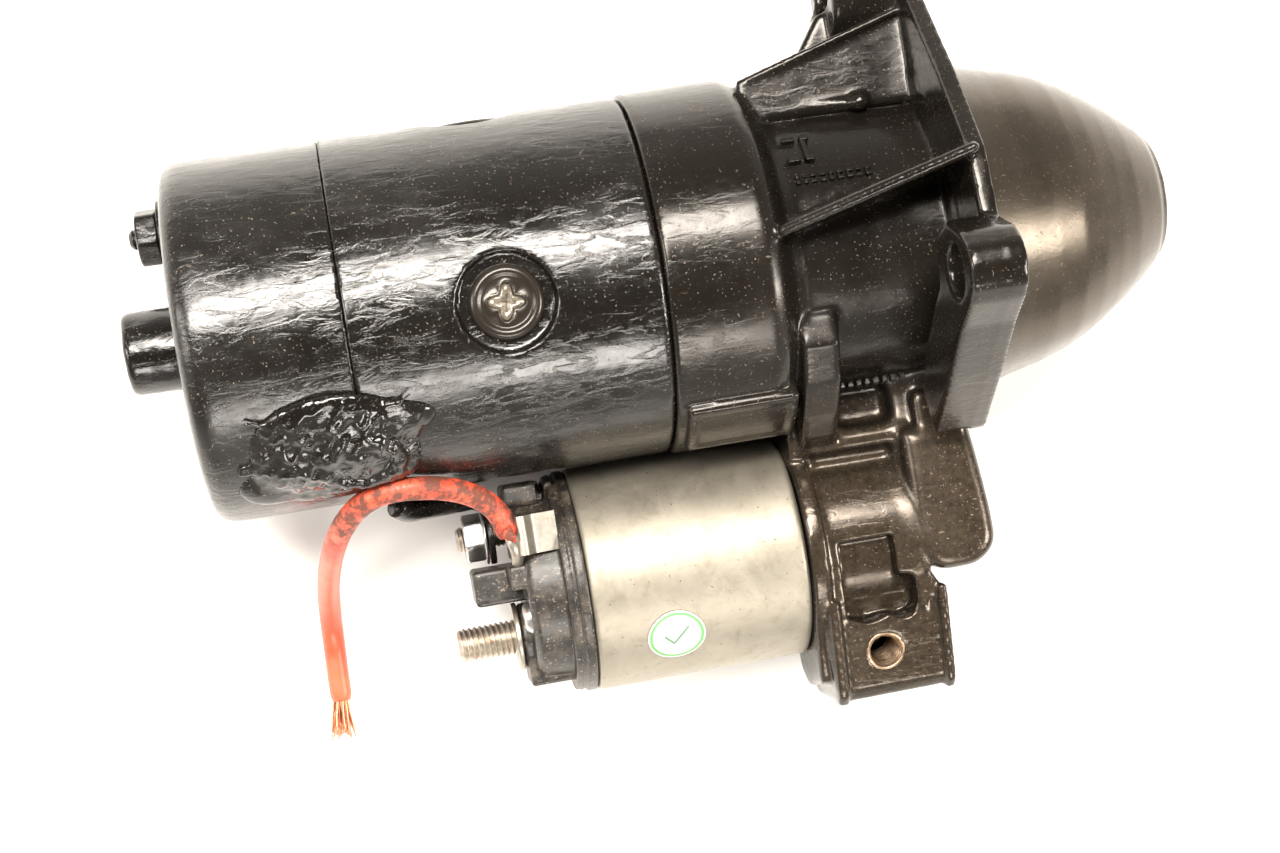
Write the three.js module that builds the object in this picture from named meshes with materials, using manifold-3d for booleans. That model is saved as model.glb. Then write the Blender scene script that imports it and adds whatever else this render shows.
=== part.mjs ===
// Pre-engaged starter motor, in millimetres. It lies on its yoke and its solenoid, as on a bench.
// The armature shaft runs along X with the nose at +X; the solenoid hangs on the -Y side.
import * as THREE from "three";
import { mergeVertices } from "three/addons/utils/BufferGeometryUtils.js";
import Module from "manifold-3d";

const wasm = await Module();
wasm.setup();

// Driving dimensions. X is measured from the seam between the yoke and the rear cap.
const GAP = 0.3; // air between pieces that touch on the real motor
const YOKE = { r: 40.5, bore: 36, end: 66.9 };
const CAP = { r: 40.3, bore: 36.8, back: -34.8, wall: 3.6, corner: 3, boss: 2.2 };
const STUD = { circle: 32, angle: 122, r: 2.5, back: -45.5, blindBack: -33.9, front: 76 };
const POLE = { x: 33.7, tilt: 5.7, half: 27.5, inner: 26.9, neck: 29.2, count: 4 };
const POLE_SCREW = { head: 8, headHeight: 2, shank: 4.6, recess: 11, seat: 37.8, tip: 31 };
const CORE = { start: 8, end: 60, r: 26.3 };
const SHAFT = { back: -45.5, journal: 6, body: 8, step: 128, front: 185.5, nose: 5.5 };
const COMMUTATOR = { start: -22, end: -2.3, r: 16.5 };
const HOUSING = { start: 67.2, barrelEnd: 92, r: 41, bore: 36.5, neck: 33, neckBore: 26 };
const FLANGE = { back: 131.5, front: 135.5, pilot: 39.5, pilotEnd: 139.5 };
const NEAR_EAR = { y: -13.3, z: 57.2, r: 12.1, back: 124 };
const TOP_EAR = { y: 55.6, z: 9, r: 12, back: 117 };
const BOLT_HOLE_R = 5.5;
const BRACKET = { back: 96, front: 123.6, tilt: 12.6, tapR: 3.6, holeX: 108.4, holeY: -93.4, holeZ: 5.4 };
const REST_LEVEL = -40.5; // the lowest point of the yoke and of the solenoid
const NOSE_TIP = 188;
const SOLENOID = { y: -66.7, z: -14.5, r: 26, back: 43.5, front: 93, wall: 2.5 };
const PLUNGER = { r: 9.2, nose: 72.5, tail: 7, end: 133.6, hook: 128, spring: 6.1 };
const CONTACT = { x: 37.4, thick: 1.8, r: 14 };
const COLLAR = { start: 107.7, grooveStart: 109.7, grooveEnd: 117.7, end: 119.7, r: 17, groove: 12 };
const CLUTCH = { start: 124, end: 146, r: 22, bore: 8.35 };
const PINION = { start: 146.5, end: 160, teeth: 10, tip: 14, root: 9.6, bore: 6.3 };
const LEVER = { pivotX: 122, pivotY: -40, pin: 3, hub: 7, head: 3.5, forkIn: 17.7, forkOut: 22.2 };
const BATTERY_STUD = { y: -10.3, z: 3.5, r: 4, tip: 13.3 };
const MOTOR_STUD = { y: 13.5, z: -3, r: 3, tip: 17 };
const LEAD_R = 2.6;
const SCREW = { r: 2.6, circle: 19.2, turn: 62 }; // the two that hold the solenoid on

const solenoidDistance = Math.hypot(SOLENOID.y, SOLENOID.z);
const leverTilt = Math.atan2(-SOLENOID.z, -SOLENOID.y); // plane of both axes, turned about X

const paint = { color: 0x0d0d0e, roughness: 0.25, metalness: 0.1 };
const materials = {
  black_paint: new THREE.MeshStandardMaterial(paint),
  steel: new THREE.MeshStandardMaterial({ color: 0x8a8a88, roughness: 0.35, metalness: 1 }),
  laminations: new THREE.MeshStandardMaterial({ color: 0x4a4d52, roughness: 0.5, metalness: 0.9 }),
  tinned: new THREE.MeshStandardMaterial({ color: 0xaaa697, roughness: 0.38, metalness: 0.9 }),
  copper: new THREE.MeshStandardMaterial({ color: 0xb86b42, roughness: 0.4, metalness: 1 }),
  bronze: new THREE.MeshStandardMaterial({ color: 0x9a7440, roughness: 0.5, metalness: 0.8 }),
  carbon: new THREE.MeshStandardMaterial({ color: 0x2b2624, roughness: 0.8, metalness: 0.1 }),
  black_plastic: new THREE.MeshStandardMaterial({ color: 0x202122, roughness: 0.6, metalness: 0 }),
  red_pvc: new THREE.MeshStandardMaterial({ color: 0xd8321c, roughness: 0.5, metalness: 0 }),
  label: new THREE.MeshStandardMaterial({ color: 0xf2f4ee, roughness: 0.6, metalness: 0 }),
};

const root = new THREE.Group();
const motor = new THREE.Group();
const solenoid = new THREE.Group();
const lever = new THREE.Group();
solenoid.position.set(0, SOLENOID.y, SOLENOID.z);
lever.rotation.x = leverTilt;
motor.add(solenoid, lever);
root.add(motor);

// ---- solids ----

// A closed three.js geometry as a manifold-3d solid, with its faces turned outward.
function solid(shape) {
  if (!(shape instanceof THREE.BufferGeometry)) return shape;
  const bare = shape.clone();
  bare.deleteAttribute("normal");
  bare.deleteAttribute("uv");
  const merged = mergeVertices(bare, 1e-4);
  const vertProperties = Float32Array.from(merged.attributes.position.array);
  const corner = (i) => new THREE.Vector3().fromArray(vertProperties, 3 * i);
  const faces = [];
  let volume = 0;
  for (let i = 0; i < merged.index.count; i += 3) {
    const [a, b, c] = merged.index.array.slice(i, i + 3);
    if (a === b || b === c || c === a) continue;
    faces.push([a, b, c]);
    volume += corner(a).dot(corner(b).cross(corner(c)));
  }
  const outward = volume < 0 ? faces.map(([a, b, c]) => [a, c, b]) : faces;
  const triVerts = Uint32Array.from(outward.flat());
  return new wasm.Manifold(new wasm.Mesh({ numProp: 3, vertProperties, triVerts }));
}

function join(...shapes) {
  return shapes.map(solid).reduce((sum, next) => sum.add(next));
}

function cut(shape, ...tools) {
  return tools.map(solid).reduce((left, tool) => left.subtract(tool), solid(shape));
}

function addPart(name, material, shape, group = motor) {
  const mesh = solid(shape).getMesh();
  const geometry = new THREE.BufferGeometry();
  geometry.setAttribute("position", new THREE.BufferAttribute(mesh.vertProperties, 3));
  geometry.setIndex(new THREE.BufferAttribute(mesh.triVerts, 1));
  geometry.computeVertexNormals();
  const part = new THREE.Mesh(geometry, materials[material]);
  part.name = name;
  group.add(part);
  return part;
}

// ---- shapes along the shaft ----

const alongX = new THREE.Matrix4().makeBasis(
  new THREE.Vector3(0, 1, 0),
  new THREE.Vector3(0, 0, 1),
  new THREE.Vector3(1, 0, 0),
);

// A profile of [x, radius] points turned about the X axis.
function turned(profile, segments = 28) {
  const points = profile.map(([x, r]) => new THREE.Vector2(r, x));
  return new THREE.LatheGeometry(points, segments).rotateZ(-Math.PI / 2);
}

function rod(x0, x1, r, segments = 16) {
  return turned([[x0, 0], [x0, r], [x1, r], [x1, 0]], segments);
}

function tube(x0, x1, inner, outer, segments = 28) {
  return turned([[x0, inner], [x0, outer], [x1, outer], [x1, inner], [x0, inner]], segments);
}

function box(x0, x1, y0, y1, z0, z1) {
  const block = new THREE.BoxGeometry(x1 - x0, y1 - y0, z1 - z0);
  return block.translate((x0 + x1) / 2, (y0 + y1) / 2, (z0 + z1) / 2);
}

// A flat outline in the Y-Z plane, drawn out along X.
function acrossX(shape, x0, x1, curveSegments = 8) {
  const options = { depth: x1 - x0, bevelEnabled: false, curveSegments };
  return new THREE.ExtrudeGeometry(shape, options).applyMatrix4(alongX).translate(x0, 0, 0);
}

// A flat outline in the X-Y plane, drawn out along Z.
function acrossZ(shape, z0, z1, curveSegments = 8) {
  const options = { depth: z1 - z0, bevelEnabled: false, curveSegments };
  return new THREE.ExtrudeGeometry(shape, options).translate(0, 0, z0);
}

function outline(points) {
  return new THREE.Shape(points.map(([a, b]) => new THREE.Vector2(a, b)));
}

// A piece of ring between two radii, centred on the +Z direction.
function sector(inner, outer, halfAngle, x0, x1, curveSegments = 8) {
  const half = THREE.MathUtils.degToRad(halfAngle);
  const up = Math.PI / 2;
  const shape = new THREE.Shape();
  shape.absarc(0, 0, outer, up - half, up + half, false);
  shape.absarc(0, 0, inner, up + half, up - half, true);
  return acrossX(shape, x0, x1, curveSegments);
}

function hexPrism(x0, x1, acrossFlats) {
  return rod(x0, x1, acrossFlats / Math.sqrt(3), 6);
}

function upright(r, z0, z1, segments = 14) {
  const length = z1 - z0;
  return new THREE.CylinderGeometry(r, r, length, segments)
    .rotateX(Math.PI / 2)
    .translate(0, 0, (z0 + z1) / 2);
}

// A closed coil along X: a round wire on a helix.
function coil(x0, x1, radius, wire, turns, stepsPerTurn = 8) {
  const points = [];
  for (let i = 0; i <= turns * stepsPerTurn; i += 1) {
    const turn = (i / stepsPerTurn) * 2 * Math.PI;
    const along = x0 + wire + ((x1 - x0 - 2 * wire) * i) / (turns * stepsPerTurn);
    points.push(new THREE.Vector3(along, radius * Math.cos(turn), radius * Math.sin(turn)));
  }
  const section = new THREE.Shape().absarc(0, 0, wire, 0, 2 * Math.PI);
  const extrudePath = new THREE.CatmullRomCurve3(points);
  const options = { steps: turns * stepsPerTurn, curveSegments: 2, bevelEnabled: false, extrudePath };
  return new THREE.ExtrudeGeometry(section, options);
}

// ---- yoke, poles and field coils ----

const poleAngles = [];
for (let i = 0; i < POLE.count; i += 1) {
  poleAngles.push(THREE.MathUtils.degToRad(POLE.tilt + (360 * i) / POLE.count));
}
const studAngles = [STUD.angle, STUD.angle + 180].map(THREE.MathUtils.degToRad);

function addYoke() {
  const tools = poleAngles.flatMap((angle) => [
    upright(POLE_SCREW.recess, POLE_SCREW.seat, 45, 20).translate(POLE.x, 0, 0).rotateX(angle),
    upright(POLE_SCREW.shank + GAP, 30, 45).translate(POLE.x, 0, 0).rotateX(angle),
  ]);
  addPart("yoke", "black_paint", cut(tube(GAP, YOKE.end, YOKE.bore, YOKE.r, 40), ...tools));
}

function addPoles() {
  const { x, half, inner, neck } = POLE;
  const outer = YOKE.bore - GAP;
  poleAngles.forEach((angle, i) => {
    const number = i + 1;
    const shoe = join(
      sector(inner, neck, 27, x - half, x + half, 4),
      sector(neck - 0.5, outer, 16, x - 24, x + 24, 2),
    );
    const threadHole = upright(POLE_SCREW.shank + GAP, POLE_SCREW.tip - 0.5, 45);
    threadHole.translate(x, 0, 0);
    const body = cut(shoe, threadHole);
    const coilRing = cut(
      sector(neck + GAP, outer, 29, x - half - 3, x + half + 3, 4),
      sector(neck - 2, outer + 4, 18, x - 25.5, x + 25.5, 2),
    );
    const screw = join(
      upright(POLE_SCREW.head, POLE_SCREW.seat + 0.1, POLE_SCREW.seat + POLE_SCREW.headHeight, 18),
      upright(POLE_SCREW.shank, POLE_SCREW.tip, POLE_SCREW.seat + 1),
    );
    const socket = upright(3.6, POLE_SCREW.seat - 1.5, 45, 6);
    for (const [name, material, shape] of [
      ["pole_shoe_", "laminations", body],
      ["field_coil_", "copper", coilRing],
      ["pole_screw_", "steel", cut(screw, socket).translate([x, 0, 0])],
    ]) {
      addPart(name + number, material, shape).rotation.x = angle;
    }
  });
}

// ---- rear cap and what it holds ----

function addRearCap() {
  const { r, bore, back, wall, corner } = CAP;
  const shell = turned([
    [0, bore], [0, r], [back + corner, r], [back + 0.9, r - 0.9], [back, r - corner],
    [back, 8], [-28, 8], [-28, 13], [back + wall, 13], [back + wall, bore], [0, bore],
  ], 40);
  const holes = studAngles.map((angle, i) => {
    const start = i === 0 ? back - 5 : STUD.blindBack - GAP;
    return rod(start, back + wall + 1, STUD.r + GAP).translate(0, 0, STUD.circle).rotateX(-angle);
  });
  const boss = rod(back - CAP.boss, back + 1, 9.4, 20)
    .translate(0, 0, STUD.circle)
    .rotateX(-studAngles[0]);
  addPart("commutator_end_cap", "black_paint", cut(join(shell, boss), ...holes));
  addPart("rear_bush", "bronze", tube(back + 0.3, -28, SHAFT.journal + 0.05, 7.7, 24));
  const cover = turned([
    [back - GAP, 7.9], [back - GAP, 9.2], [-47.6, 9.2], [-48.6, 8.2], [-48.6, 0], [-47.3, 0],
    [-47.3, 7.9], [back - GAP, 7.9],
  ], 24);
  addPart("shaft_end_cap", "black_paint", cover);
}

function addBrushGear() {
  const plate = cut(
    tube(-27.5, -25.5, 19, 28.8, 28),
    box(-30, -20, -4, 4, -40, -22),
  );
  const holders = [];
  const brushTurns = [0, 90, 180, 270].map((d) => THREE.MathUtils.degToRad(d + POLE.tilt));
  for (const turn of brushTurns) {
    const holder = box(-25.6, -5.5, -5.4, 5.4, 18.6, 28.2);
    const slot = box(-23.9, 0, -4, 4, 10, 40);
    holders.push(cut(holder, slot).rotate([THREE.MathUtils.radToDeg(turn), 0, 0]));
  }
  addPart("brush_plate", "tinned", join(plate, ...holders));
  brushTurns.forEach((turn, i) => {
    const brush = box(-23.4, -6.5, -3.6, 3.6, COMMUTATOR.r + 0.35, 28);
    addPart("brush_" + (i + 1), "carbon", brush).rotation.x = turn;
  });
}

// One stud takes a nut behind the cap, the other ends blind inside the cap's wall.
function addThroughStuds() {
  const { circle, r, back, blindBack, front } = STUD;
  const face = CAP.back - CAP.boss;
  studAngles.forEach((angle, i) => {
    const holder = new THREE.Group();
    holder.rotation.x = -angle;
    motor.add(holder);
    const stud = rod(i === 0 ? back : blindBack, front, r, 10).translate(0, 0, circle);
    addPart("through_stud_" + (i + 1), "steel", stud, holder);
    if (i > 0) return;
    const washer = tube(face - 1.4, face - 0.2, r + 0.2, 8.2, 16).translate(0, 0, circle);
    const nut = cut(hexPrism(face - 6.6, face - 1.6, 12), rod(-60, 0, r + 0.2, 10));
    addPart("stud_washer", "steel", washer, holder);
    addPart("stud_nut", "steel", nut.translate([0, 0, circle]), holder);
  });
}

// ---- armature ----

function addArmature() {
  const { back, journal, body, step, front, nose } = SHAFT;
  const shaft = turned([
    [back, 0], [back, journal - 0.5], [back + 1, journal], [-27.4, journal], [-27.4, body],
    [step, body], [step, journal], [180.2, journal], [180.2, nose], [front, nose], [front, 0],
  ], 20);
  addPart("armature_shaft", "steel", shaft);
  const slots = [];
  const slotCount = 12;
  for (let i = 0; i < slotCount; i += 1) {
    const slot = box(0, 70, -0.9, 0.9, CORE.r - 2, CORE.r + 1);
    slots.push(slot.rotateX((i * 2 * Math.PI) / slotCount));
  }
  const bore = body + GAP;
  const core = tube(CORE.start, CORE.end, bore, CORE.r, 36);
  addPart("armature_core", "laminations", cut(core, ...slots));
  const ring = (x0, x1, outer) => turned([
    [x0, bore], [x0, outer - 3], [x0 + 2, outer], [x1 - 2, outer], [x1, outer - 3], [x1, bore],
    [x0, bore],
  ], 24);
  const risers = ring(COMMUTATOR.end - 0.5, CORE.start - GAP, 23);
  const segments = tube(COMMUTATOR.start, COMMUTATOR.end, bore, COMMUTATOR.r, 24);
  addPart("commutator", "copper", join(segments, risers));
  addPart("armature_winding", "copper", ring(CORE.end + GAP, 77, 24.5));
  addPart("stop_ring", "steel", tube(177, 180, journal + GAP, 8.8, 16));
}

// ---- drive: collar, clutch and pinion ----

function addDrive() {
  const { start, grooveStart, grooveEnd, end, r, groove } = COLLAR;
  const drum = CLUTCH;
  addPart("clutch_drive", "steel", turned([
    [start, drum.bore], [start, r], [grooveStart, r], [grooveStart, groove], [grooveEnd, groove],
    [grooveEnd, r], [end, r], [end, groove], [drum.start, groove], [drum.start, drum.r - 1],
    [drum.start + 1, drum.r], [drum.end - 1, drum.r], [drum.end, drum.r - 1], [drum.end, drum.bore],
    [start, drum.bore],
  ], 24));
  const teeth = [];
  const pitch = (2 * Math.PI) / PINION.teeth;
  const corners = [[-0.32, PINION.root], [-0.13, PINION.tip], [0.13, PINION.tip], [0.32, PINION.root]];
  for (let i = 0; i < PINION.teeth; i += 1) {
    for (const [share, radius] of corners) {
      const angle = (i + share) * pitch;
      teeth.push([radius * Math.cos(angle), radius * Math.sin(angle)]);
    }
  }
  const gear = acrossX(outline(teeth), PINION.start, PINION.end);
  addPart("pinion", "steel", cut(gear, rod(140, 170, PINION.bore, 16)));
}

// ---- drive-end housing ----

function circlePoints(centre, r, from, to, count) {
  const points = [];
  for (let i = 0; i <= count; i += 1) {
    const angle = THREE.MathUtils.degToRad(from + ((to - from) * i) / count);
    points.push([centre.y + r * Math.cos(angle), centre.z + r * Math.sin(angle)]);
  }
  return points;
}

function flangeOutline() {
  return outline([
    [-3, 55.5], [-6.2, 64.6],
    ...circlePoints(NEAR_EAR, NEAR_EAR.r, 72, 195, 7),
    [-29.8, 48.2], [-35, 39.8], [-46.4, 20.4], [-45, 8], [-40, 0], [-36, REST_LEVEL + 0.6],
    [12, REST_LEVEL + 0.6], [46, -16],
    ...circlePoints(TOP_EAR, TOP_EAR.r, -60, 75, 7),
    [48, 27.5], [30.3, 41.5], [11.7, 53.8],
  ]);
}

function wedge(y0, y1, z0, z1) {
  return acrossZ(outline([[88, y0], [FLANGE.back + 1, y0], [FLANGE.back + 1, y1]]), z0, z1);
}

function housingBody() {
  const { start, barrelEnd, r, neck } = HOUSING;
  const ear = ({ back, ...at }) => {
    return acrossX(outline(circlePoints(at, at.r, 0, 336, 14)), back, FLANGE.back + 0.5);
  };
  const barrelAndNeck = turned([
    [start, 0], [start, r], [barrelEnd - 2, r], [barrelEnd + 2, r - 2], [barrelEnd + 6, neck],
    [FLANGE.back, neck - 1], [FLANGE.back, FLANGE.pilot], [FLANGE.pilotEnd, FLANGE.pilot],
    [FLANGE.pilotEnd, 38.2], [148.7, 35.6], [155, 34.2], [162, 32], [167.5, 29.4], [172.6, 26.4],
    [178, 22.8], [182, 19.7], [185.4, 16.9], [186.6, 15.4], [187.5, 14.6], [NOSE_TIP, 13],
    [NOSE_TIP, 0],
  ], 36);
  const flange = acrossX(flangeOutline(), FLANGE.back, FLANGE.front, 4);
  const nearRoot = outline([
    [-46.4, 20.4], [-35, 39.8], [-25, 56], [-14.5, 62], [-5, 50], [-14.5, 44], [-27, 24], [-36, 16],
  ]);
  const nearEarRoot = acrossX(nearRoot, NEAR_EAR.back, FLANGE.back + 0.5);
  const topEarWeb = acrossZ(outline([[104, 28], [132, 28], [132, 58], [118, 56]]), 3, 14);
  const topRib = wedge(30, 49, 16, 21);
  const middleRib = acrossZ(outline([[88, 20], [132, 20], [132, 57], [92, 40.5]]), -2.2, 2.2)
    .rotateX(THREE.MathUtils.degToRad(90 - 9));
  const ears = [ear(NEAR_EAR), ear(TOP_EAR), nearEarRoot, topEarWeb];
  return join(barrelAndNeck, flange, ...ears, topRib, middleRib);
}

function solenoidSeat() {
  const { y, z } = SOLENOID;
  const place = (shape) => shape.translate(0, y, z);
  const plate = place(rod(SOLENOID.front + GAP, 98.5, 27.2, 28));
  const lowerPlate = box(SOLENOID.front + GAP, 98.5, -101, -66, -22, 4);
  const barrel = place(rod(98, 119, 24.3, 28));
  const leverBox = acrossZ(outline([
    [120, -41], [122.4, -38], [132, -38], [134.4, -44], [136.9, -66], [136.8, -73],
    [132.6, -77], [124, -77], [120, -74],
  ]), -38, 11.3);
  const bracket = acrossX(outline([
    [-66, 9.8], [-77, 8.6], [-81.5, 8], [-101.2, 3.6], [-103.8, 1.2], [-104, -20], [-98, -27],
    [-76, -33], [-66, -20],
  ]), BRACKET.back, BRACKET.front);
  const webOutline = outline([[-8, -30], [-52, -32], [-52, 0], [-46, 6.4], [-36, 7], [-20, 10]]);
  const web = acrossX(webOutline, SOLENOID.front + GAP, 133);
  const wallOutline = outline([
    [-16, 30], [-23, 30.5], [-31, 25.6], [-38, 18.4], [-46, 6], [-46, -12], [-20, 0],
  ]);
  const wall = acrossX(wallOutline, 95.6, 104);
  return join(plate, lowerPlate, barrel, leverBox, bracket, web, wall);
}

function housingHollows() {
  const { start, barrelEnd, bore, neckBore } = HOUSING;
  const inside = turned([
    [start - 1, 0], [start - 1, bore], [barrelEnd - 3, bore], [barrelEnd + 2, neckBore],
    [139, neckBore], [141, 26], [158, 25.5], [164, 22], [171, 17.2], [178, 14], [180, 13.5],
    [180, 8], [186, 8], [186, 0],
  ], 28);
  const [windowStart, windowEnd] = [-118, -4].map(THREE.MathUtils.degToRad);
  const windowShape = new THREE.Shape();
  windowShape.lineTo(48 * Math.cos(windowStart), 48 * Math.sin(windowStart));
  windowShape.absarc(0, 0, 48, windowStart, windowEnd, false);
  const ringGearWindow = acrossX(windowShape, 145, 178.5, 6);
  const earHoles = [NEAR_EAR, TOP_EAR].map(({ y, z }) => {
    return rod(90, 140, BOLT_HOLE_R, 16).translate(0, y, z);
  });
  const studHoles = studAngles.map((angle) =>
    rod(60, STUD.front + 1, STUD.r + GAP, 10).translate(0, 0, STUD.circle).rotateX(-angle),
  );
  const plungerWay = join(rod(90, 118, 13.2, 20), rod(117, 133.9, PLUNGER.tail + 0.4, 20))
    .translate([0, SOLENOID.y, SOLENOID.z]);
  const screwHoles = [-1, 1].map((side) => {
    return screwWay(side, SCREW.r + GAP).translate(0, SOLENOID.y, SOLENOID.z);
  });
  const tapped = upright(BRACKET.tapR, -14, 6, 14)
    .rotateX(THREE.MathUtils.degToRad(BRACKET.tilt))
    .translate(BRACKET.holeX, BRACKET.holeY, BRACKET.holeZ);
  const pocket = box(100.6, 113.6, -76.4, -66.8, 4.8, 20);
  const channel = box(101.6, 117.2, -84.2, -75.6, 2.2, 20);
  const besideTheWall = box(105, 118, -41.6, -32.6, 1.6, 22);
  const holes = [...earHoles, ...studHoles, ...screwHoles, tapped];
  return [inside, ringGearWindow, plungerWay, pocket, channel, besideTheWall, ...holes];
}

// The way of a solenoid screw, about the solenoid's axis.
function screwWay(side, r) {
  const turn = leverTilt + side * THREE.MathUtils.degToRad(SCREW.turn);
  return rod(80, 101, r, 10).translate(0, 0, -SCREW.circle).rotateX(turn + Math.PI);
}

function addHousing() {
  const leverWay = box(108, 132.6, -73.4, 0, -7.5, 7.5).rotateX(leverTilt);
  const underside = box(60, 200, -120, 100, -70, REST_LEVEL);
  const pinWay = upright(LEVER.pin + GAP, -13.3, 13.3, 12)
    .translate(LEVER.pivotX, LEVER.pivotY, 0)
    .rotateX(leverTilt);
  const tools = [...housingHollows(), leverWay, pinWay, underside];
  addPart("drive_end_housing", "black_paint", cut(join(housingBody(), solenoidSeat()), ...tools));
  addPart("nose_bush", "bronze", tube(180.5, 185.7, SHAFT.nose + 0.1, 7.7, 24));
}

// ---- shift lever, in the plane of the two axes ----

// It is built upright at the pivot, then leaned back to its rest angle.
function addLever() {
  const { pivotX, pivotY, pin, hub, head, forkIn, forkOut } = LEVER;
  const reach = solenoidDistance + pivotY;
  const headDistance = Math.hypot(PLUNGER.hook - pivotX, reach);
  const lean = Math.atan2(PLUNGER.hook - pivotX, reach);
  const armOutline = outline([
    [-2.4, -headDistance], [2.4, -headDistance], [4.6, 0], [4, 19.5], [-4, 19.5], [-4.6, 0],
  ]);
  const arm = acrossZ(armOutline, -2.6, 2.6);
  const headPad = upright(head, -2.6, 2.6).translate(0, -headDistance, 0);
  const hubBoss = upright(hub, -6, 6, 16);
  const half = THREE.MathUtils.degToRad(94);
  const forkShape = new THREE.Shape();
  forkShape.absarc(0, 0, forkOut, Math.PI - half, Math.PI + half, false);
  forkShape.absarc(0, 0, forkIn, Math.PI + half, Math.PI - half, true);
  const fork = acrossX(forkShape, -3.4, 3.4, 8).translate(0, -pivotY, 0);
  const pads = [-1, 1].map((side) => {
    const [low, high] = side < 0 ? [-forkIn - 1.5, -12.6] : [12.6, forkIn + 1.5];
    return upright(3.2, low, high, 12).translate(0, -pivotY, 0);
  });
  const bore = upright(pin + 0.08, -10, 10, 24);
  const shape = cut(join(arm, headPad, hubBoss, fork, ...pads), bore);
  const part = addPart("shift_lever", "steel", shape, lever);
  part.position.set(pivotX, pivotY, 0);
  part.rotation.z = lean;
  addPart("lever_pin", "steel", upright(pin, -13, 13, 24).translate(pivotX, pivotY, 0), lever);
}

// ---- solenoid, about its own axis ----

function addSolenoidCase() {
  const { r, back, front, wall } = SOLENOID;
  const plungerBore = PLUNGER.r + 0.6;
  const inner = r - wall - GAP;
  const shell = turned([
    [back, r - wall], [back, r], [front - 1.5, r], [front, r - 1.5], [front, plungerBore],
    [front - wall, plungerBore], [front - wall, r - wall], [back, r - wall],
  ], 36);
  addPart("solenoid_case", "tinned", shell, solenoid);
  addPart("solenoid_winding", "copper", tube(52.3, 90, plungerBore, inner, 28), solenoid);
  const stop = turned([
    [46.5, 2.6], [46.5, inner], [52, inner], [52, PLUNGER.r], [62, PLUNGER.r], [62, 2.6], [46.5, 2.6],
  ], 20);
  addPart("core_stop", "steel", stop, solenoid);
  const behindTheSeat = box(70, front + GAP, -40, 40, -40, 40);
  [-1, 1].forEach((side, i) => {
    const screw = cut(screwWay(side, SCREW.r), behindTheSeat);
    addPart("solenoid_screw_" + (i + 1), "steel", screw, solenoid);
  });
}

function addSolenoidCap() {
  const { y, z, r } = BATTERY_STUD;
  const cup = turned([
    [43.2, 22], [43.2, 25.6], [39.8, 25.6], [38.5, 22.6], [31.5, 22.2], [30, 21], [30, 0], [32.5, 0],
    [32.5, 18.5], [42, 18.5], [43.2, 22],
  ], 32);
  const studBoss = rod(28.2, 31, 7.6, 16).translate(0, y, z);
  const lowerBlock = box(28.6, 41, -21.5, -9, -8, 8);
  const barrier = box(18.8, 31, -2.2, 6.4, -8, 9);
  const upperBlock = box(28.2, 38.5, 16.5, 22, -6, 8);
  const terminalBlock = box(28.4, 37.5, -0.5, 8, 4, 19.5);
  const bores = [
    rod(10, 36, r + GAP, 14).translate(0, y, z),
    rod(10, 36, MOTOR_STUD.r + GAP, 14).translate(0, MOTOR_STUD.y, MOTOR_STUD.z),
    rod(32.5, 41.8, 18.4, 32),
  ];
  const body = join(cup, studBoss, lowerBlock, barrier, upperBlock, terminalBlock);
  addPart("solenoid_cap", "black_plastic", cut(body, ...bores), solenoid);
}

function addTerminals() {
  const battery = BATTERY_STUD;
  const motorStud = MOTOR_STUD;
  const stud = ({ r, tip }, headR) => join(rod(tip, 33, r, 14), rod(32.8, 34, headR, 14));
  addPart("battery_stud", "steel", stud(battery, 6).translate([0, battery.y, battery.z]), solenoid);
  const washer = tube(26.6, 27.9, battery.r + 0.2, 7.8, 16);
  addPart("battery_stud_washer", "steel", washer.translate(0, battery.y, battery.z), solenoid);
  const motorStudShape = stud(motorStud, 4.2).translate([0, motorStud.y, motorStud.z]);
  addPart("motor_stud", "steel", motorStudShape, solenoid);
  const nut = cut(hexPrism(18.9, 23.8, 10), rod(10, 30, motorStud.r + 0.15, 14));
  addPart("motor_stud_nut", "tinned", nut.translate([0, motorStud.y, motorStud.z]), solenoid);
  const blade = box(30.5, 38, 8.6, 18.2, 21.2, 22);
  const lip = box(30.5, 31.3, 9.4, 17.4, 21.2, 26);
  addPart("spade_terminal", "tinned", join(blade, lip), solenoid);
}

function addContactsAndPlunger() {
  const { x, thick, r } = CONTACT;
  addPart("contact_disc", "copper", tube(x, x + thick, 2.5, r, 24), solenoid);
  addPart("contact_rod", "bronze", rod(x - 0.6, 65.2, 2.2, 10), solenoid);
  addPart("contact_spring", "steel", coil(32.7, x - 0.2, 3.4, 0.45, 2), solenoid);
  const body = turned([
    [PLUNGER.nose, 0], [PLUNGER.nose, 4.4], [90, 4.4], [90, 7.8], [PLUNGER.nose, 7.8],
    [PLUNGER.nose, PLUNGER.r], [110, PLUNGER.r], [112, PLUNGER.tail], [PLUNGER.end, PLUNGER.tail],
    [PLUNGER.end, 0],
  ], 20);
  const slot = box(PLUNGER.hook - 4, PLUNGER.hook + 4, -12, 20, -3.2, 3.2).rotateX(leverTilt);
  const entry = box(PLUNGER.hook - 13, PLUNGER.hook + 4.8, 2, 20, -3.2, 3.2).rotateX(leverTilt);
  addPart("plunger", "steel", cut(body, slot, entry), solenoid);
  addPart("plunger_spring", "steel", coil(62.3, 89.7, PLUNGER.spring, 0.8, 6), solenoid);
}

function addSticker() {
  const patch = sector(SOLENOID.r + GAP, SOLENOID.r + 0.6, 20, 52, 75, 6);
  const round = upright(6.6, 20, 32, 16).translate(61.4, 0, 0);
  const disc = solid(patch).intersect(solid(round));
  addPart("sticker", "label", disc, solenoid).rotation.x = THREE.MathUtils.degToRad(34);
}

// ---- field lead and red control lead ----

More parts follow.
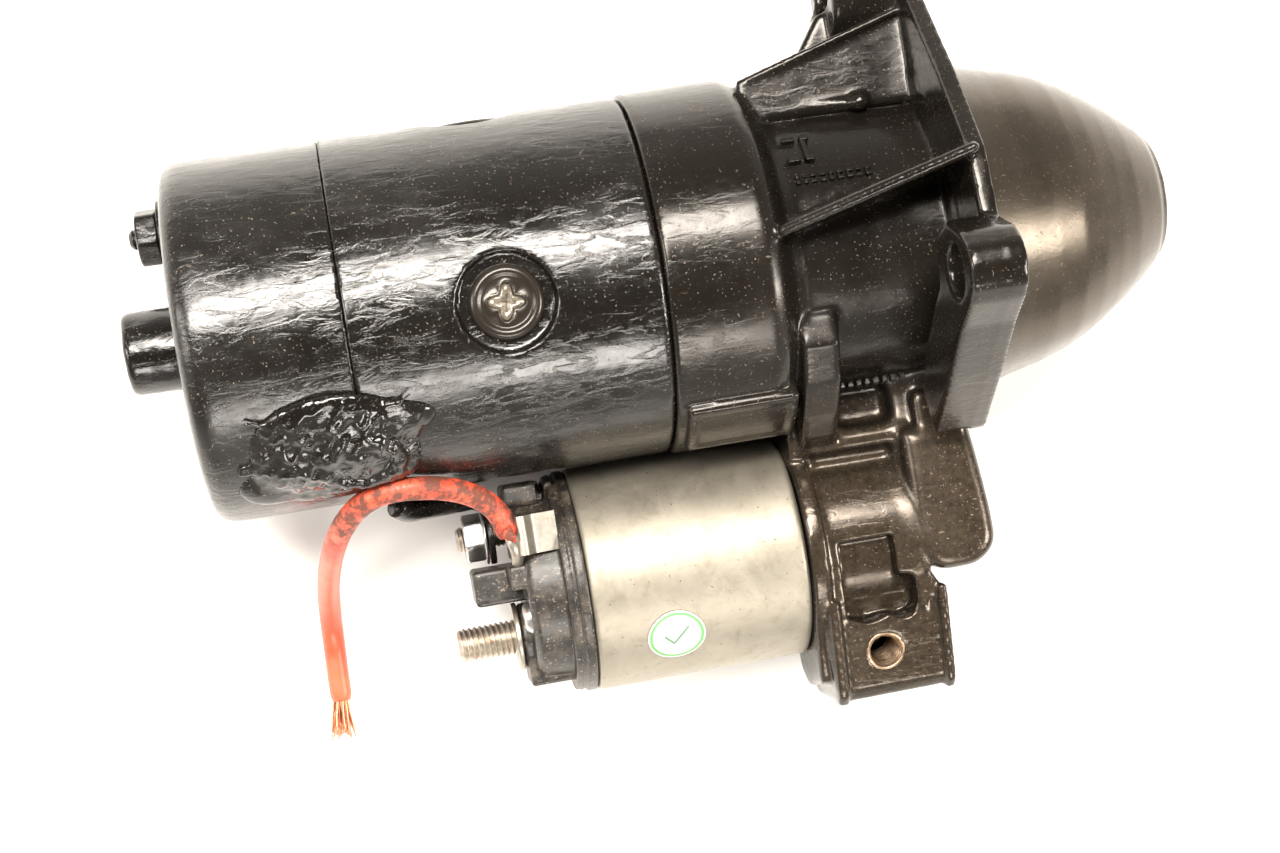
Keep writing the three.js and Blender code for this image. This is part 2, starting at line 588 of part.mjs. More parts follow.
function cable(points, r, steps, curveSegments) {
  const route = points.map((p) => new THREE.Vector3(...p));
  const section = new THREE.Shape().absarc(0, 0, r, 0, 2 * Math.PI);
  const extrudePath = new THREE.CatmullRomCurve3(route, false, "centripetal");
  const options = { steps, curveSegments, bevelEnabled: false, extrudePath };
  return new THREE.ExtrudeGeometry(section, options);
}

// The red lead leaves its ferrule beside the yoke, rests on the yoke, and comes down to the bench.
const leadRoute = [
  [27.9, -52.9, 8.2], [26.4, -48.0, 9.4], [23.5, -44.4, 11.6], [19.4, -41.8, 14.4], [14.6, -40.1, 16.8],
  [10.2, -39.3, 18.6], [5.8, -38.9, 19.2], [1.6, -39.2, 18.3], [-2.6, -40.7, 15.4], [-6.2, -43.4, 10.6],
  [-9.2, -47.1, 3.6], [-11.4, -51.2, -5.2], [-13.0, -55.4, -14.6], [-14.2, -59.8, -23.8],
  [-14.9, -64.4, -31.0], [-15.3, -69.2, -35.6], [-15.5, -74.6, -37.6], [-15.7, -80.6, -37.9],
  [-15.8, -87.2, -37.9],
];

function addLeads() {
  addPart("red_lead", "red_pvc", cable(leadRoute, LEAD_R, 28, 4));
  const strands = new THREE.CylinderGeometry(2.2, 3.0, 8.4, 10, 1).scale(1, 1, 0.72).rotateZ(0.2);
  addPart("red_lead_strands", "copper", strands.translate(-16.6, -91.9, -38.2));
  const ferrule = new THREE.CylinderGeometry(1.5, 1.2, 4.8, 12).rotateZ(0.12);
  addPart("lead_ferrule", "tinned", ferrule.translate(28.3, -55.7, 8.2));
  const fieldRoute = [
    [6.6, -44.0, -3], [10, -44.2, -6], [14, -44.2, -9.5], [18.5, -44.1, -13], [22.4, -44.2, -16],
    [24.8, -45.3, -17.5],
  ];
  const lug = tube(24.1, 25.5, MOTOR_STUD.r + 0.2, 6.8, 16)
    .translate(0, SOLENOID.y + MOTOR_STUD.y, SOLENOID.z + MOTOR_STUD.z);
  const tail = box(24.1, 25.5, -50, -45, -20, -15);
  addPart("field_lead", "black_paint", join(cable(fieldRoute, LEAD_R, 10, 4), tail, lug));
  const lump = new THREE.SphereGeometry(1, 18, 10).scale(17, 12, 5.2).translate(-8, 0, YOKE.r - 0.6);
  lump.rotateX(THREE.MathUtils.degToRad(43));
  addPart("lead_grommet", "black_paint", cut(lump, rod(-60, 90, YOKE.r + GAP, 60)));
}

addYoke();
addPoles();
addRearCap();
addBrushGear();
addThroughStuds();
addArmature();
addDrive();
addHousing();
addLever();
addSolenoidCase();
addSolenoidCap();
addTerminals();
addContactsAndPlunger();
addSticker();
addLeads();

// The origin is under the middle of the motor, at the level it rests on, leads left out of the measure.
const onTheLead = ["red_lead", "red_lead_strands"];
const extent = new THREE.Box3();
root.updateMatrixWorld(true);
root.traverse((o) => {
  if (o.isMesh && !onTheLead.includes(o.name)) extent.expandByObject(o, true);
});
const middle = extent.getCenter(new THREE.Vector3());
motor.position.set(-middle.x, -middle.y, -extent.min.z);

export default root;
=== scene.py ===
# A starter motor lying on a bench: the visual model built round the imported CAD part.
# Shapes are written in millimetres in the shaft's frame: X runs along the shaft from the seam
# between the yoke and the rear cap, -Y is the solenoid's side and +Z faces the viewer.
# place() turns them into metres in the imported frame.
import math

import bpy
import numpy as np
from mathutils import Matrix, Vector


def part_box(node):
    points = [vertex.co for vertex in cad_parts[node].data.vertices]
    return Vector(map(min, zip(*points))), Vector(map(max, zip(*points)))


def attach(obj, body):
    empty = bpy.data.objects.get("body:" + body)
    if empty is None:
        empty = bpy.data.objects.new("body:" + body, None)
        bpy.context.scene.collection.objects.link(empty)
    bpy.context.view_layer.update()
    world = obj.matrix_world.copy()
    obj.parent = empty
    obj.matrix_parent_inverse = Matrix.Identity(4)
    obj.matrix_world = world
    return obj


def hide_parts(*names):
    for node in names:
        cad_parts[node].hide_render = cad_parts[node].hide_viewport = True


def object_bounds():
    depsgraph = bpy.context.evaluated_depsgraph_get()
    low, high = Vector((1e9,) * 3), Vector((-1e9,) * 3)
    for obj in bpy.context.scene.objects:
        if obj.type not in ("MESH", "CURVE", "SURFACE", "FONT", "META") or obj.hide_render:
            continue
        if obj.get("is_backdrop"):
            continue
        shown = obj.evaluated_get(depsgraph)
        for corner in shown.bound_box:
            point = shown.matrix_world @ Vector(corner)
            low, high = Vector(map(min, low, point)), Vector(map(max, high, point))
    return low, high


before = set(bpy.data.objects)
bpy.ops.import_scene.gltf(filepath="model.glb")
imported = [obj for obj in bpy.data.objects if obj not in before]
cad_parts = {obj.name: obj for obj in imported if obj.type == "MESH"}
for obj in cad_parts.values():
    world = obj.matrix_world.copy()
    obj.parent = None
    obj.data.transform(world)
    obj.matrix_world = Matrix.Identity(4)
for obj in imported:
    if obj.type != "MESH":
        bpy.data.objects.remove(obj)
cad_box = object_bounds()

MM = 0.001          # a millimetre in metres
YOKE_END = 66.9     # where the yoke meets the housing
SOLENOID_Y, SOLENOID_Z, SOLENOID_R = -66.7, -14.5, 26.0
SOLENOID = (SOLENOID_Y, SOLENOID_Z)
# the fork lever swings in the plane through the shaft and the solenoid
LEVER_TILT = math.atan2(-SOLENOID_Z, -SOLENOID_Y)
LEAD_D = 5.2
REST_LEVEL = -40.45
LENS_MM, CAMERA_AT = 59.06, (4.09, -33.86, 473.86)
CAMERA_BACK, CAMERA_UP = Vector((-0.12066, 0, 0.99269)), Vector((0.16111, 0.98674, 0.01958))

yoke_low, yoke_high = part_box("yoke")
ORIGIN = np.array([
    yoke_high.x - YOKE_END * MM,
    (yoke_low.y + yoke_high.y) / 2,
    (yoke_low.z + yoke_high.z) / 2,
])


def place(points):
    """Points of the shaft's frame in millimetres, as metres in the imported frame."""
    return np.asarray(points, float) * MM + ORIGIN


def on_solenoid(y, z):
    """A place (y, z) measured from the solenoid's axis, in the shaft's frame."""
    return SOLENOID_Y + y, SOLENOID_Z + z


# ---- the camera ----

def make_camera():
    data = bpy.data.cameras.new("camera")
    data.sensor_width = 36
    data.lens = LENS_MM
    data.clip_start = 0.01
    camera = bpy.data.objects.new("camera", data)
    bpy.context.scene.collection.objects.link(camera)
    back = CAMERA_BACK.normalized()
    right = CAMERA_UP.cross(back).normalized()
    up = back.cross(right)
    turn = Matrix((right, up, back)).transposed().to_4x4()
    camera.matrix_world = Matrix.Translation(place(CAMERA_AT)) @ turn
    bpy.context.scene.camera = camera


make_camera()


# ---- meshes ----

def catmull(points, per_span):
    """A centripetal Catmull-Rom curve through the points, per_span steps to a span."""
    p = np.asarray(points, float)
    p = np.vstack([2 * p[0] - p[1], p, 2 * p[-1] - p[-2]])
    out = []
    for i in range(1, len(p) - 2):
        a, b, c, d = p[i - 1:i + 3]
        t0 = 0
        t1 = t0 + np.linalg.norm(b - a) ** 0.5
        t2 = t1 + np.linalg.norm(c - b) ** 0.5
        t3 = t2 + np.linalg.norm(d - c) ** 0.5
        for t in np.linspace(t1, t2, per_span, endpoint=False):
            ab = ((t1 - t) * a + (t - t0) * b) / (t1 - t0)
            bc = ((t2 - t) * b + (t - t1) * c) / (t2 - t1)
            cd = ((t3 - t) * c + (t - t2) * d) / (t3 - t2)
            abc = ((t2 - t) * ab + (t - t0) * bc) / (t2 - t0)
            bcd = ((t3 - t) * bc + (t - t1) * cd) / (t3 - t1)
            out.append(((t2 - t) * abc + (t - t1) * bcd) / (t2 - t1))
    out.append(p[-2])
    return np.array(out)


def fillet(points, radius, steps=4, closed=False):
    """A 2-D line with its corners rounded. radius may be one number, or one for each corner."""
    p = [np.asarray(q, float) for q in points]
    n = len(p)
    radii = radius if hasattr(radius, "__len__") else [radius] * n
    out = []
    for i, corner in enumerate(p):
        if radii[i] <= 0 or (not closed and i in (0, n - 1)):
            out.append(corner)
            continue
        before, after = p[i - 1], p[(i + 1) % n]
        la, lb = np.linalg.norm(before - corner), np.linalg.norm(after - corner)
        reach = min(radii[i], la * 0.48, lb * 0.48)
        a = corner + (before - corner) * reach / la
        b = corner + (after - corner) * reach / lb
        for t in np.linspace(0, 1, steps + 1):
            out.append((1 - t) ** 2 * a + 2 * t * (1 - t) * corner + t * t * b)
    return out


def stitch(rings, closed_tube=False, caps=True):
    """Rings of points joined by quads. A ring of one point is a pole."""
    verts, faces, starts = [], [], []
    for ring in rings:
        starts.append(len(verts))
        verts.extend(ring)
    pairs = list(zip(range(len(rings) - 1), range(1, len(rings))))
    if closed_tube:
        pairs.append((len(rings) - 1, 0))
    for a, b in pairs:
        na, nb = len(rings[a]), len(rings[b])
        n = max(na, nb)
        for i in range(n):
            j = (i + 1) % n
            if na == 1:
                faces.append((starts[a], starts[b] + j, starts[b] + i))
            elif nb == 1:
                faces.append((starts[a] + i, starts[a] + j, starts[b]))
            else:
                faces.append((starts[a] + i, starts[a] + j, starts[b] + j, starts[b] + i))
    if caps and not closed_tube:
        if len(rings[0]) > 2:
            faces.append(tuple(range(starts[0], starts[0] + len(rings[0])))[::-1])
        if len(rings[-1]) > 2:
            faces.append(tuple(range(starts[-1], starts[-1] + len(rings[-1]))))
    return np.array(verts, float), faces


def round_angles(n):
    return np.linspace(0, 2 * math.pi, n, endpoint=False)


def ring_x(x, radii, angles, centre=(0, 0)):
    """A ring across X. radii may be one number, or one for each angle."""
    y, z = centre[0] + radii * np.cos(angles), centre[1] + radii * np.sin(angles)
    return np.stack([np.full(len(angles), float(x)), y, z], 1)


def ring_z(z, radii, angles):
    return np.roll(ring_x(z, radii, angles), -1, 1)


def lathe(profile, centre=(0, 0), n=96, closed=False):
    """A profile of (x, radius) points turned about the line y, z = centre."""
    rings = [ring_x(x, r, round_angles(n if r > 1e-6 else 1), centre) for x, r in profile]
    return stitch(rings, closed_tube=closed)


def finer(points, step, closed=False):
    """A line with its spans cut into steps."""
    out = []
    for a, b in zip(points, points[1:] + points[:1] if closed else points[1:]):
        count = max(1, int(np.linalg.norm(np.subtract(b, a)) / step))
        out += [np.array(a) + np.subtract(b, a) * k / count for k in range(count)]
    return out if closed else out + [points[-1]]


def prism(outline, low, high, axis=0):
    """A flat outline drawn out along an axis. Its points are on the other two axes, in order."""
    return stitch([np.insert(np.array(outline, float), axis, level, 1) for level in (low, high)])


def block(low, high):
    corners = [(low[0], low[1]), (high[0], low[1]), (high[0], high[1]), (low[0], high[1])]
    return prism(corners, low[2], high[2], axis=2)


def tube_along(path, radius, n=16, squeeze=None):
    """A closed tube along a path. radius may be a number or one for each point, and squeeze
    holds how flat the tube is at each point."""
    p = np.asarray(path, float)
    radii = np.full(len(p), radius) if np.isscalar(radius) else np.asarray(radius)
    tangents = np.gradient(p, axis=0)
    tangents /= np.linalg.norm(tangents, axis=1)[:, None]
    side = np.cross(tangents[0], (0.13, 0.31, 0.94))
    side /= np.linalg.norm(side)
    squeeze = np.ones(len(p)) if squeeze is None else squeeze
    rings = []
    for at, t, r, flat in zip(p, tangents, radii, squeeze):
        side = side - t * (side @ t)
        side /= np.linalg.norm(side)
        other = np.cross(t, side)
        angles = round_angles(n)[:, None]
        rings.append(at + r * (np.cos(angles) * side + flat * np.sin(angles) * other))
    return stitch(rings)


def several(*shapes):
    """Several shapes as one."""
    verts, faces, start = [], [], 0
    for v, f in shapes:
        verts.append(np.asarray(v, float))
        faces.extend(tuple(int(i) + start for i in face) for face in f)
        start += len(v)
    return np.vstack(verts), faces


def moved(shape, by):
    return np.asarray(shape[0], float) + np.asarray(by, float), shape[1]


def turned_x(shape, angle, centre=(0, 0)):
    """A shape turned by angle (radians, from +Y towards +Z) about a line along X."""
    v = np.array(shape[0], float)
    y, z = v[:, 1] - centre[0], v[:, 2] - centre[1]
    v[:, 1] = centre[0] + y * math.cos(angle) - z * math.sin(angle)
    v[:, 2] = centre[1] + y * math.sin(angle) + z * math.cos(angle)
    return v, shape[1]


LATTICE = 24
SHARP_DEGREES = 35


def value_noise(points, size, seed):
    """Smooth noise from -1 to 1 with lumps about size across."""
    lattice = np.random.RandomState(seed).uniform(-1, 1, (LATTICE,) * 3)
    q = np.asarray(points, float) / size + 1000
    whole = np.floor(q).astype(int)
    part = q - whole
    part = part * part * (3 - 2 * part)
    total = np.zeros(len(q))
    for i, j, k in np.ndindex(2, 2, 2):
        weight = np.ones(len(q))
        for axis, bit in enumerate((i, j, k)):
            weight = weight * (part[:, axis] if bit else 1 - part[:, axis])
        corner = (whole + (i, j, k)) % LATTICE
        total += weight * lattice[corner[:, 0], corner[:, 1], corner[:, 2]]
    return total


def piece(name, shape, look, body="motor_body", replaces=(), smooth=True, bevel=0,
          relief=None):
    """A shown piece from a shape in the shaft's frame. relief gives how far each of its points
    moves along its normal, in millimetres, and bevel rounds its edges."""
    mesh = bpy.data.meshes.new(name)
    faces = shape[1].tolist() if isinstance(shape[1], np.ndarray) else shape[1]
    mesh.from_pydata(place(shape[0]), [], faces)
    mesh.update()
    mesh.validate()
    if relief is not None:
        co = np.zeros(len(mesh.vertices) * 3, np.float32)
        normals = np.zeros(len(mesh.vertices) * 3, np.float32)
        mesh.vertices.foreach_get("co", co)
        mesh.vertex_normals.foreach_get("vector", normals)
        co, normals = co.reshape(-1, 3), normals.reshape(-1, 3)
        height = relief((co - ORIGIN) / MM)
        co = co + normals * (height * MM)[:, None]
        mesh.vertices.foreach_set("co", co.astype(np.float32).ravel())
        mesh.update()
    if smooth:
        mesh.shade_smooth()
    obj = bpy.data.objects.new(name, mesh)
    bpy.context.scene.collection.objects.link(obj)
    mesh.materials.append(look)
    if bevel:
        edge = obj.modifiers.new("edges", "BEVEL")
        edge.width = bevel * MM
        edge.segments = 3
        edge.limit_method = "ANGLE"
        edge.angle_limit = math.radians(SHARP_DEGREES)
        edge.harden_normals = True
    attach(obj, body)
    if replaces:
        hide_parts(*replaces)
    return obj


# ---- castings and mouldings: distances on a grid, turned into a skin of quads ----

FAR = 9.0


class Form:
    """A shape by its distance function, with the box that it lies in."""

    def __init__(self, low, high, distance):
        self.low, self.high = np.array(low, float), np.array(high, float)
        self.distance = distance


class Clay:
    """A solid as signed distances on a grid, negative inside."""

    def __init__(self, low, high, step):
        self.step = step
        self.axes = [np.arange(a, b + step, step, dtype=np.float32) for a, b in zip(low, high)]
        self.low = np.array([axis[0] for axis in self.axes], float)
        self.d = np.full([len(axis) for axis in self.axes], FAR, np.float32)

    def add(self, form, blend=0.0, sign=1):
        reach = max(3 * self.step, 1.6 * blend)
        cuts = tuple(slice(*np.searchsorted(axis, (a - reach, b + reach)))
                     for axis, a, b in zip(self.axes, form.low, form.high))
        x, y, z = [axis[cut] for axis, cut in zip(self.axes, cuts)]
        if len(x) and len(y) and len(z):
            new = form.distance(x[:, None, None], y[None, :, None], z[None, None, :])
            self.d[cuts] = sign * soft_min(sign * self.d[cuts], new, blend)

    def cut(self, form, blend=0.0):
        self.add(form, blend, sign=-1)

    def skin(self, relax=1):
        """The quads of the surface where the distance is zero."""
        d = self.d
        inner = d < 0
        n = [size - 1 for size in d.shape]
        count = np.zeros(n, np.int8)
        for i, j, k in np.ndindex(2, 2, 2):
            count += inner[i:i + n[0], j:j + n[1], k:k + n[2]]
        cells = np.argwhere((count > 0) & (count < 8))
        index = np.full(n, -1, np.int32)
        index[tuple(cells.T)] = np.arange(len(cells))
        total, hits = np.zeros((len(cells), 3)), np.zeros(len(cells))
        for axis in range(3):
            others = [other for other in range(3) if other != axis]
            for p, q in np.ndindex(2, 2):
                corner = np.zeros(3, int)
                corner[others[0]], corner[others[1]] = p, q
                far = corner.copy()
                far[axis] += 1
                a = d[tuple((cells + corner).T)]
                b = d[tuple((cells + far).T)]
                cross = (a < 0) != (b < 0)
                point = np.tile(corner.astype(float), (int(cross.sum()), 1))
                point[:, axis] = a[cross] / (a[cross] - b[cross])
                total[cross] += point
                hits[cross] += 1
        verts = self.low + (cells + total / hits[:, None]) * self.step
        quads = []
        for axis, (u, v) in enumerate(((1, 2), (2, 0), (0, 1))):
            near, far = [slice(1, -1)] * 3, [slice(1, -1)] * 3
            near[axis], far[axis] = slice(None, -1), slice(1, None)
            a, b = inner[tuple(near)], inner[tuple(far)]
            for first, flip in ((a & ~b, False), (~a & b, True)):
                at = np.argwhere(first)
                at[:, u] += 1
                at[:, v] += 1
                corners = []
                for du, dv in ((1, 1), (0, 1), (0, 0), (1, 0)):
                    cell = at.copy()
                    cell[:, u] -= du
                    cell[:, v] -= dv
                    corners.append(index[tuple(cell.T)])
                if flip:
                    corners = corners[::-1]
                quads.append(np.stack(corners, 1))
        quads = np.vstack(quads)
        for _ in range(relax):
            total, hits = np.zeros_like(verts), np.zeros(len(verts))
            for i in range(4):
                a, b = quads[:, i], quads[:, (i + 1) % 4]
                for axis in range(3):
                    total[:, axis] += np.bincount(a, verts[b, axis], len(verts))
                hits += np.bincount(a, minlength=len(verts))
            verts = verts * 0.5 + total / hits[:, None] * 0.5
        return verts, quads


def soft_min(a, b, blend):
    if blend <= 0:
        return np.minimum(a, b)
    near = np.maximum(blend - np.abs(a - b), 0) / blend
    return np.minimum(a, b) - near * near * blend / 4


def outline_distance(x, y, corners):
    """Signed distance in a plane to a closed outline."""
    x, y = np.broadcast_arrays(np.asarray(x, np.float32), np.asarray(y, np.float32))
    best = np.full(x.shape, 1e9, np.float32)
    inside = np.zeros(x.shape, bool)
    for i, (ax, ay) in enumerate(corners):
        bx, by = corners[i - 1]
        ex, ey = bx - ax, by - ay
        wx, wy = x - ax, y - ay
        t = np.clip((wx * ex + wy * ey) / max(ex * ex + ey * ey, 1e-12), 0, 1)
        best = np.minimum(best, (wx - t * ex) ** 2 + (wy - t * ey) ** 2)
        left = ex * wy > ey * wx
        up, down = (y >= ay) & (y < by), (y < ay) & (y >= by)
        inside ^= (up & left) | (down & ~left)
    return np.where(inside, -1, 1) * np.sqrt(best)


def drawn(flat, along, half, edge):
    """Distance to a flat form drawn out to half on both sides, its rim rounded by edge."""
    side = np.abs(along) - half + edge
    flat = flat + edge
    return (
        np.minimum(np.maximum(flat, side), 0)
        + np.hypot(np.maximum(flat, 0), np.maximum(side, 0))
        - edge
    )


def form_drawn(outline, start, end, edge, axis):
    """An outline drawn out along an axis. Its points are on the other two axes, in order."""
    p = np.array(outline, float)

    def distance(*at):
        a, b = at[:axis] + at[axis + 1:]
        return drawn(outline_distance(a, b, p), at[axis] - (start + end) / 2,
                     (end - start) / 2, edge)

    return Form(np.insert(p.min(0), axis, start), np.insert(p.max(0), axis, end), distance)


def form_x(outline, x0, x1, edge=0.0):
    return form_drawn(outline, x0, x1, edge, 0)


def form_z(outline, z0, z1, edge=0.0):
    return form_drawn(outline, z0, z1, edge, 2)


def form_turned(profile, centre=(0, 0)):
    """A closed profile of (x, radius) points turned about a line along X."""
    p = np.array(profile, float)
    top = p[:, 1].max()
    fine = 0.15

    def distance(x, y, z):
        rho = np.hypot(y - centre[0], z - centre[1])[0]
        radii = np.arange(0, rho.max() + 2 * fine, fine)
        table = outline_distance(x[:, :, 0], radii[None, :], p)
        i = (rho / fine).astype(int)
        part = (rho / fine - i).astype(np.float32)
        return table[:, i] * (1 - part) + table[:, i + 1] * part

    low = (p[:, 0].min(), centre[0] - top, centre[1] - top)
    high = (p[:, 0].max(), centre[0] + top, centre[1] + top)
    return Form(low, high, distance)


def form_round(start, end, r, centre, edge, axis):
    """A round rod along an axis. Its centre is on the other two axes, in order."""
    c = np.array(centre, float)

    def distance(*at):
        a, b = at[:axis] + at[axis + 1:]
        flat = np.hypot(a - centre[0], b - centre[1]) - r
        return drawn(flat, at[axis] - (start + end) / 2, (end - start) / 2, edge)

    return Form(np.insert(c - r, axis, start), np.insert(c + r, axis, end), distance)


def form_rod(x0, x1, r, centre=(0, 0), edge=0.0):
    return form_round(x0, x1, r, centre, edge, 0)


def form_post(z0, z1, r, centre, edge=0.0):
    return form_round(z0, z1, r, centre, edge, 2)


def form_box(low, high, edge=0.0):
    low, high = np.array(low, float), np.array(high, float)
    mid, half = (low + high) / 2, (high - low) / 2 - edge

    def distance(x, y, z):
        q = [np.abs(v - m) - h for v, m, h in zip((x, y, z), mid, half)]
        out = np.sqrt(sum(np.maximum(v, 0) ** 2 for v in q))
        return out + np.minimum(np.maximum(np.maximum(q[0], q[1]), q[2]), 0) - edge

    return Form(low, high, distance)


def form_bar(a, b, r, r_end=None):
    """A round-ended bar from a to b."""
    a, b = np.array(a, float), np.array(b, float)
    r_end = r if r_end is None else r_end
    e = b - a

    def distance(x, y, z):
        t = np.clip(((x - a[0]) * e[0] + (y - a[1]) * e[1] + (z - a[2]) * e[2]) / (e @ e), 0, 1)
        away = (x - a[0] - t * e[0]) ** 2 + (y - a[1] - t * e[1]) ** 2 + (z - a[2] - t * e[2]) ** 2
        return np.sqrt(away) - (r + (r_end - r) * t)

    big = max(r, r_end)
    return Form(np.minimum(a, b) - big, np.maximum(a, b) + big, distance)


def form_wall(a, b, bottom, top_a, top_b, half, edge=0.3):
    """An upright wall between the (x, y) points a and b, its top rising from top_a to top_b."""
    a, b = np.array(a, float), np.array(b, float)
    length = np.linalg.norm(b - a)
    e = (b - a) / length
    side = np.array([(0, bottom), (length, bottom), (length, top_b), (0, top_a)])

    def distance(x, y, z):
        along = (x - a[0]) * e[0] + (y - a[1]) * e[1]
        off = (y - a[1]) * e[0] - (x - a[0]) * e[1]
        return drawn(outline_distance(along + 0 * z, z + 0 * along, side), off, half, edge)

    low = (min(a[0], b[0]), min(a[1], b[1]) - half, bottom)
    high = (max(a[0], b[0]), max(a[1], b[1]) + half, max(top_a, top_b))
    return Form(low, high, distance)


def both(one, other):
    """What two forms have in common."""
    def distance(x, y, z):
        return np.maximum(one.distance(x, y, z), other.distance(x, y, z))

    return Form(np.maximum(one.low, other.low), np.minimum(one.high, other.high), distance)


def form_ball(centre, radii):
    c, r = np.array(centre, float), np.array(radii, float)

    def distance(x, y, z):
        q = [(v - m) / s for v, m, s in zip((x, y, z), c, r)]
        k0 = np.sqrt(sum(v * v for v in q)) + 1e-6
        k1 = np.sqrt(sum((v / s) ** 2 for v, s in zip(q, r))) + 1e-6
        return k0 * (k0 - 1) / k1

    return Form(c - r, c + r, distance)


def tilted(form, angle, centre=(0, 0)):
    """A form turned by angle, from +Y towards +Z, about a line along X."""
    cos, sin = math.cos(angle), math.sin(angle)

    def distance(x, y, z):
        v, w = y - centre[0], z - centre[1]
        back_y = centre[0] + v * cos + w * sin
        back_z = centre[1] - v * sin + w * cos
        return form.distance(x, back_y, back_z)

    corners = []
    for y in (form.low[1], form.high[1]):
        for z in (form.low[2], form.high[2]):
            v, w = y - centre[0], z - centre[1]
            corners.append((centre[0] + v * cos - w * sin, centre[1] + v * sin + w * cos))
    low, high = np.min(corners, 0), np.max(corners, 0)
    return Form((form.low[0], *low), (form.high[0], *high), distance)


def ring_part(inner, outer, start, end, n=10):
    """The (y, z) outline of a piece of ring, its angles in degrees from +Y towards +Z."""
    a = np.radians(np.linspace(start, end, n))
    return [(outer * math.cos(t), outer * math.sin(t)) for t in a] + [
        (inner * math.cos(t), inner * math.sin(t)) for t in a[::-1]
    ]


def arc(centre, r, start, end, n):
    a = np.radians(np.linspace(start, end, n))
    return [(centre[0] + r * math.cos(t), centre[1] + r * math.sin(t)) for t in a]


# ---- finishes ----

class Look:
    """A procedural finish on one Principled shader."""

    def __init__(self, name, values=()):
        self.material = bpy.data.materials.new(name)
        self.material.use_nodes = True
        self.tree = self.material.node_tree
        self.shader = self.tree.nodes["Principled BSDF"]
        self.where = self.tree.nodes.new("ShaderNodeTexCoord").outputs["Object"]
        for key, value in dict(values).items():
            self.shader.inputs[key].default_value = value

    def node(self, kind, inputs=(), **settings):
        made = self.tree.nodes.new("ShaderNode" + kind)
        for key, value in settings.items():
            setattr(made, key, value)
        for key, value in dict(inputs).items():
            if isinstance(value, bpy.types.NodeSocket):
                self.tree.links.new(value, made.inputs[key])
            else:
                made.inputs[key].default_value = value
        return made

    def stretched(self, scale, turn=(0, 0, 0)):
        inputs = {"Vector": self.where, "Scale": scale, "Rotation": turn}
        return self.node("Mapping", inputs).outputs[0]

    def noise(self, scale, detail=4, rough=0.55, where=None, twist=0.0):
        inputs = {
            "Vector": where or self.where, "Scale": scale, "Detail": detail, "Roughness": rough,
            "Distortion": twist,
        }
        return self.node("TexNoise", inputs).outputs["Fac"]

    def axis(self, name):
        return self.node("SeparateXYZ", {0: self.where}).outputs[name]

    def spread(self, value, low, high, **settings):
        """0 at low and 1 at high, and even between them."""
        inputs = {"Value": value, "From Min": low, "From Max": high}
        return self.node("MapRange", inputs, **settings).outputs[0]

    def ramp(self, value, low, high, start=0.0, end=1.0):
        """The grey start up to low and end from high."""
        return self.steps(value, [(low, start), (high, end)])

    def steps(self, value, stops):
        """A colour ramp. stops are (position, grey or colour)."""
        ramp = self.node("ValToRGB", {"Fac": value})
        bar = ramp.color_ramp.elements
        while len(bar) < len(stops):
            bar.new(0.5)
        for element, (position, colour) in zip(bar, stops):
            element.position = position
            element.color = (*colour, 1) if hasattr(colour, "__len__") else (colour,) * 3 + (1,)
        return ramp.outputs["Color"]

    def mix(self, share, a, b, blend="MIX"):
        made = self.node("Mix", data_type="RGBA", blend_type=blend)
        for socket, value in ((made.inputs[0], share), (made.inputs[6], a), (made.inputs[7], b)):
            if isinstance(value, bpy.types.NodeSocket):
                self.tree.links.new(value, socket)
            elif hasattr(value, "__len__"):
                socket.default_value = (*value, 1)
            else:
                socket.default_value = value if socket == made.inputs[0] else (value,) * 3 + (1,)
        return made.outputs[2]

    def sum(self, a, b, operation="ADD"):
        return self.node("Math", {0: a, 1: b}, operation=operation).outputs[0]

    def worn_edges(self, radius, low, high):
        """1 on sharp outer edges, from the angle between a rounded normal and the true one."""
        round_normal = self.node("Bevel", {"Radius": radius}, samples=6).outputs[0]
        true_normal = self.node("NewGeometry").outputs["Normal"]
        dot = self.node("VectorMath", {0: round_normal, 1: true_normal}, operation="DOT_PRODUCT")
        return self.spread(dot.outputs["Value"], high, low)

    def colour(self, socket):
        self.tree.links.new(socket, self.shader.inputs["Base Color"])
        return self

    def rough(self, socket):
        self.tree.links.new(socket, self.shader.inputs["Roughness"])
        return self

    def metal(self, socket):
        self.tree.links.new(socket, self.shader.inputs["Metallic"])
        return self

    def bumps(self, *layers):
        """Bumps on top of each other: (height socket, distance in metres, strength)."""
        below = None
        for height, distance, strength in layers:
            inputs = {"Height": height, "Distance": distance, "Strength": strength}
            if below is not None:
                inputs["Normal"] = below
            below = self.node("Bump", inputs).outputs[0]
        self.tree.links.new(below, self.shader.inputs["Normal"])
        return self


def runs_and_ridges(look):
    """Ragged ridges left by the brush, in some patches more than in others."""
    ragged = look.noise(300, 6, 0.6, look.stretched((0.35, 1, 1), (0, 0, 0.15)), 0.6)
    ridges = look.steps(ragged, [(0.47, 0.0), (0.58, 0.8), (0.72, 1.0)])
    patches = look.ramp(look.noise(45, 3, 0.6), 0.38, 0.62, 0.25)
    return look.sum(ridges, patches, "MULTIPLY")


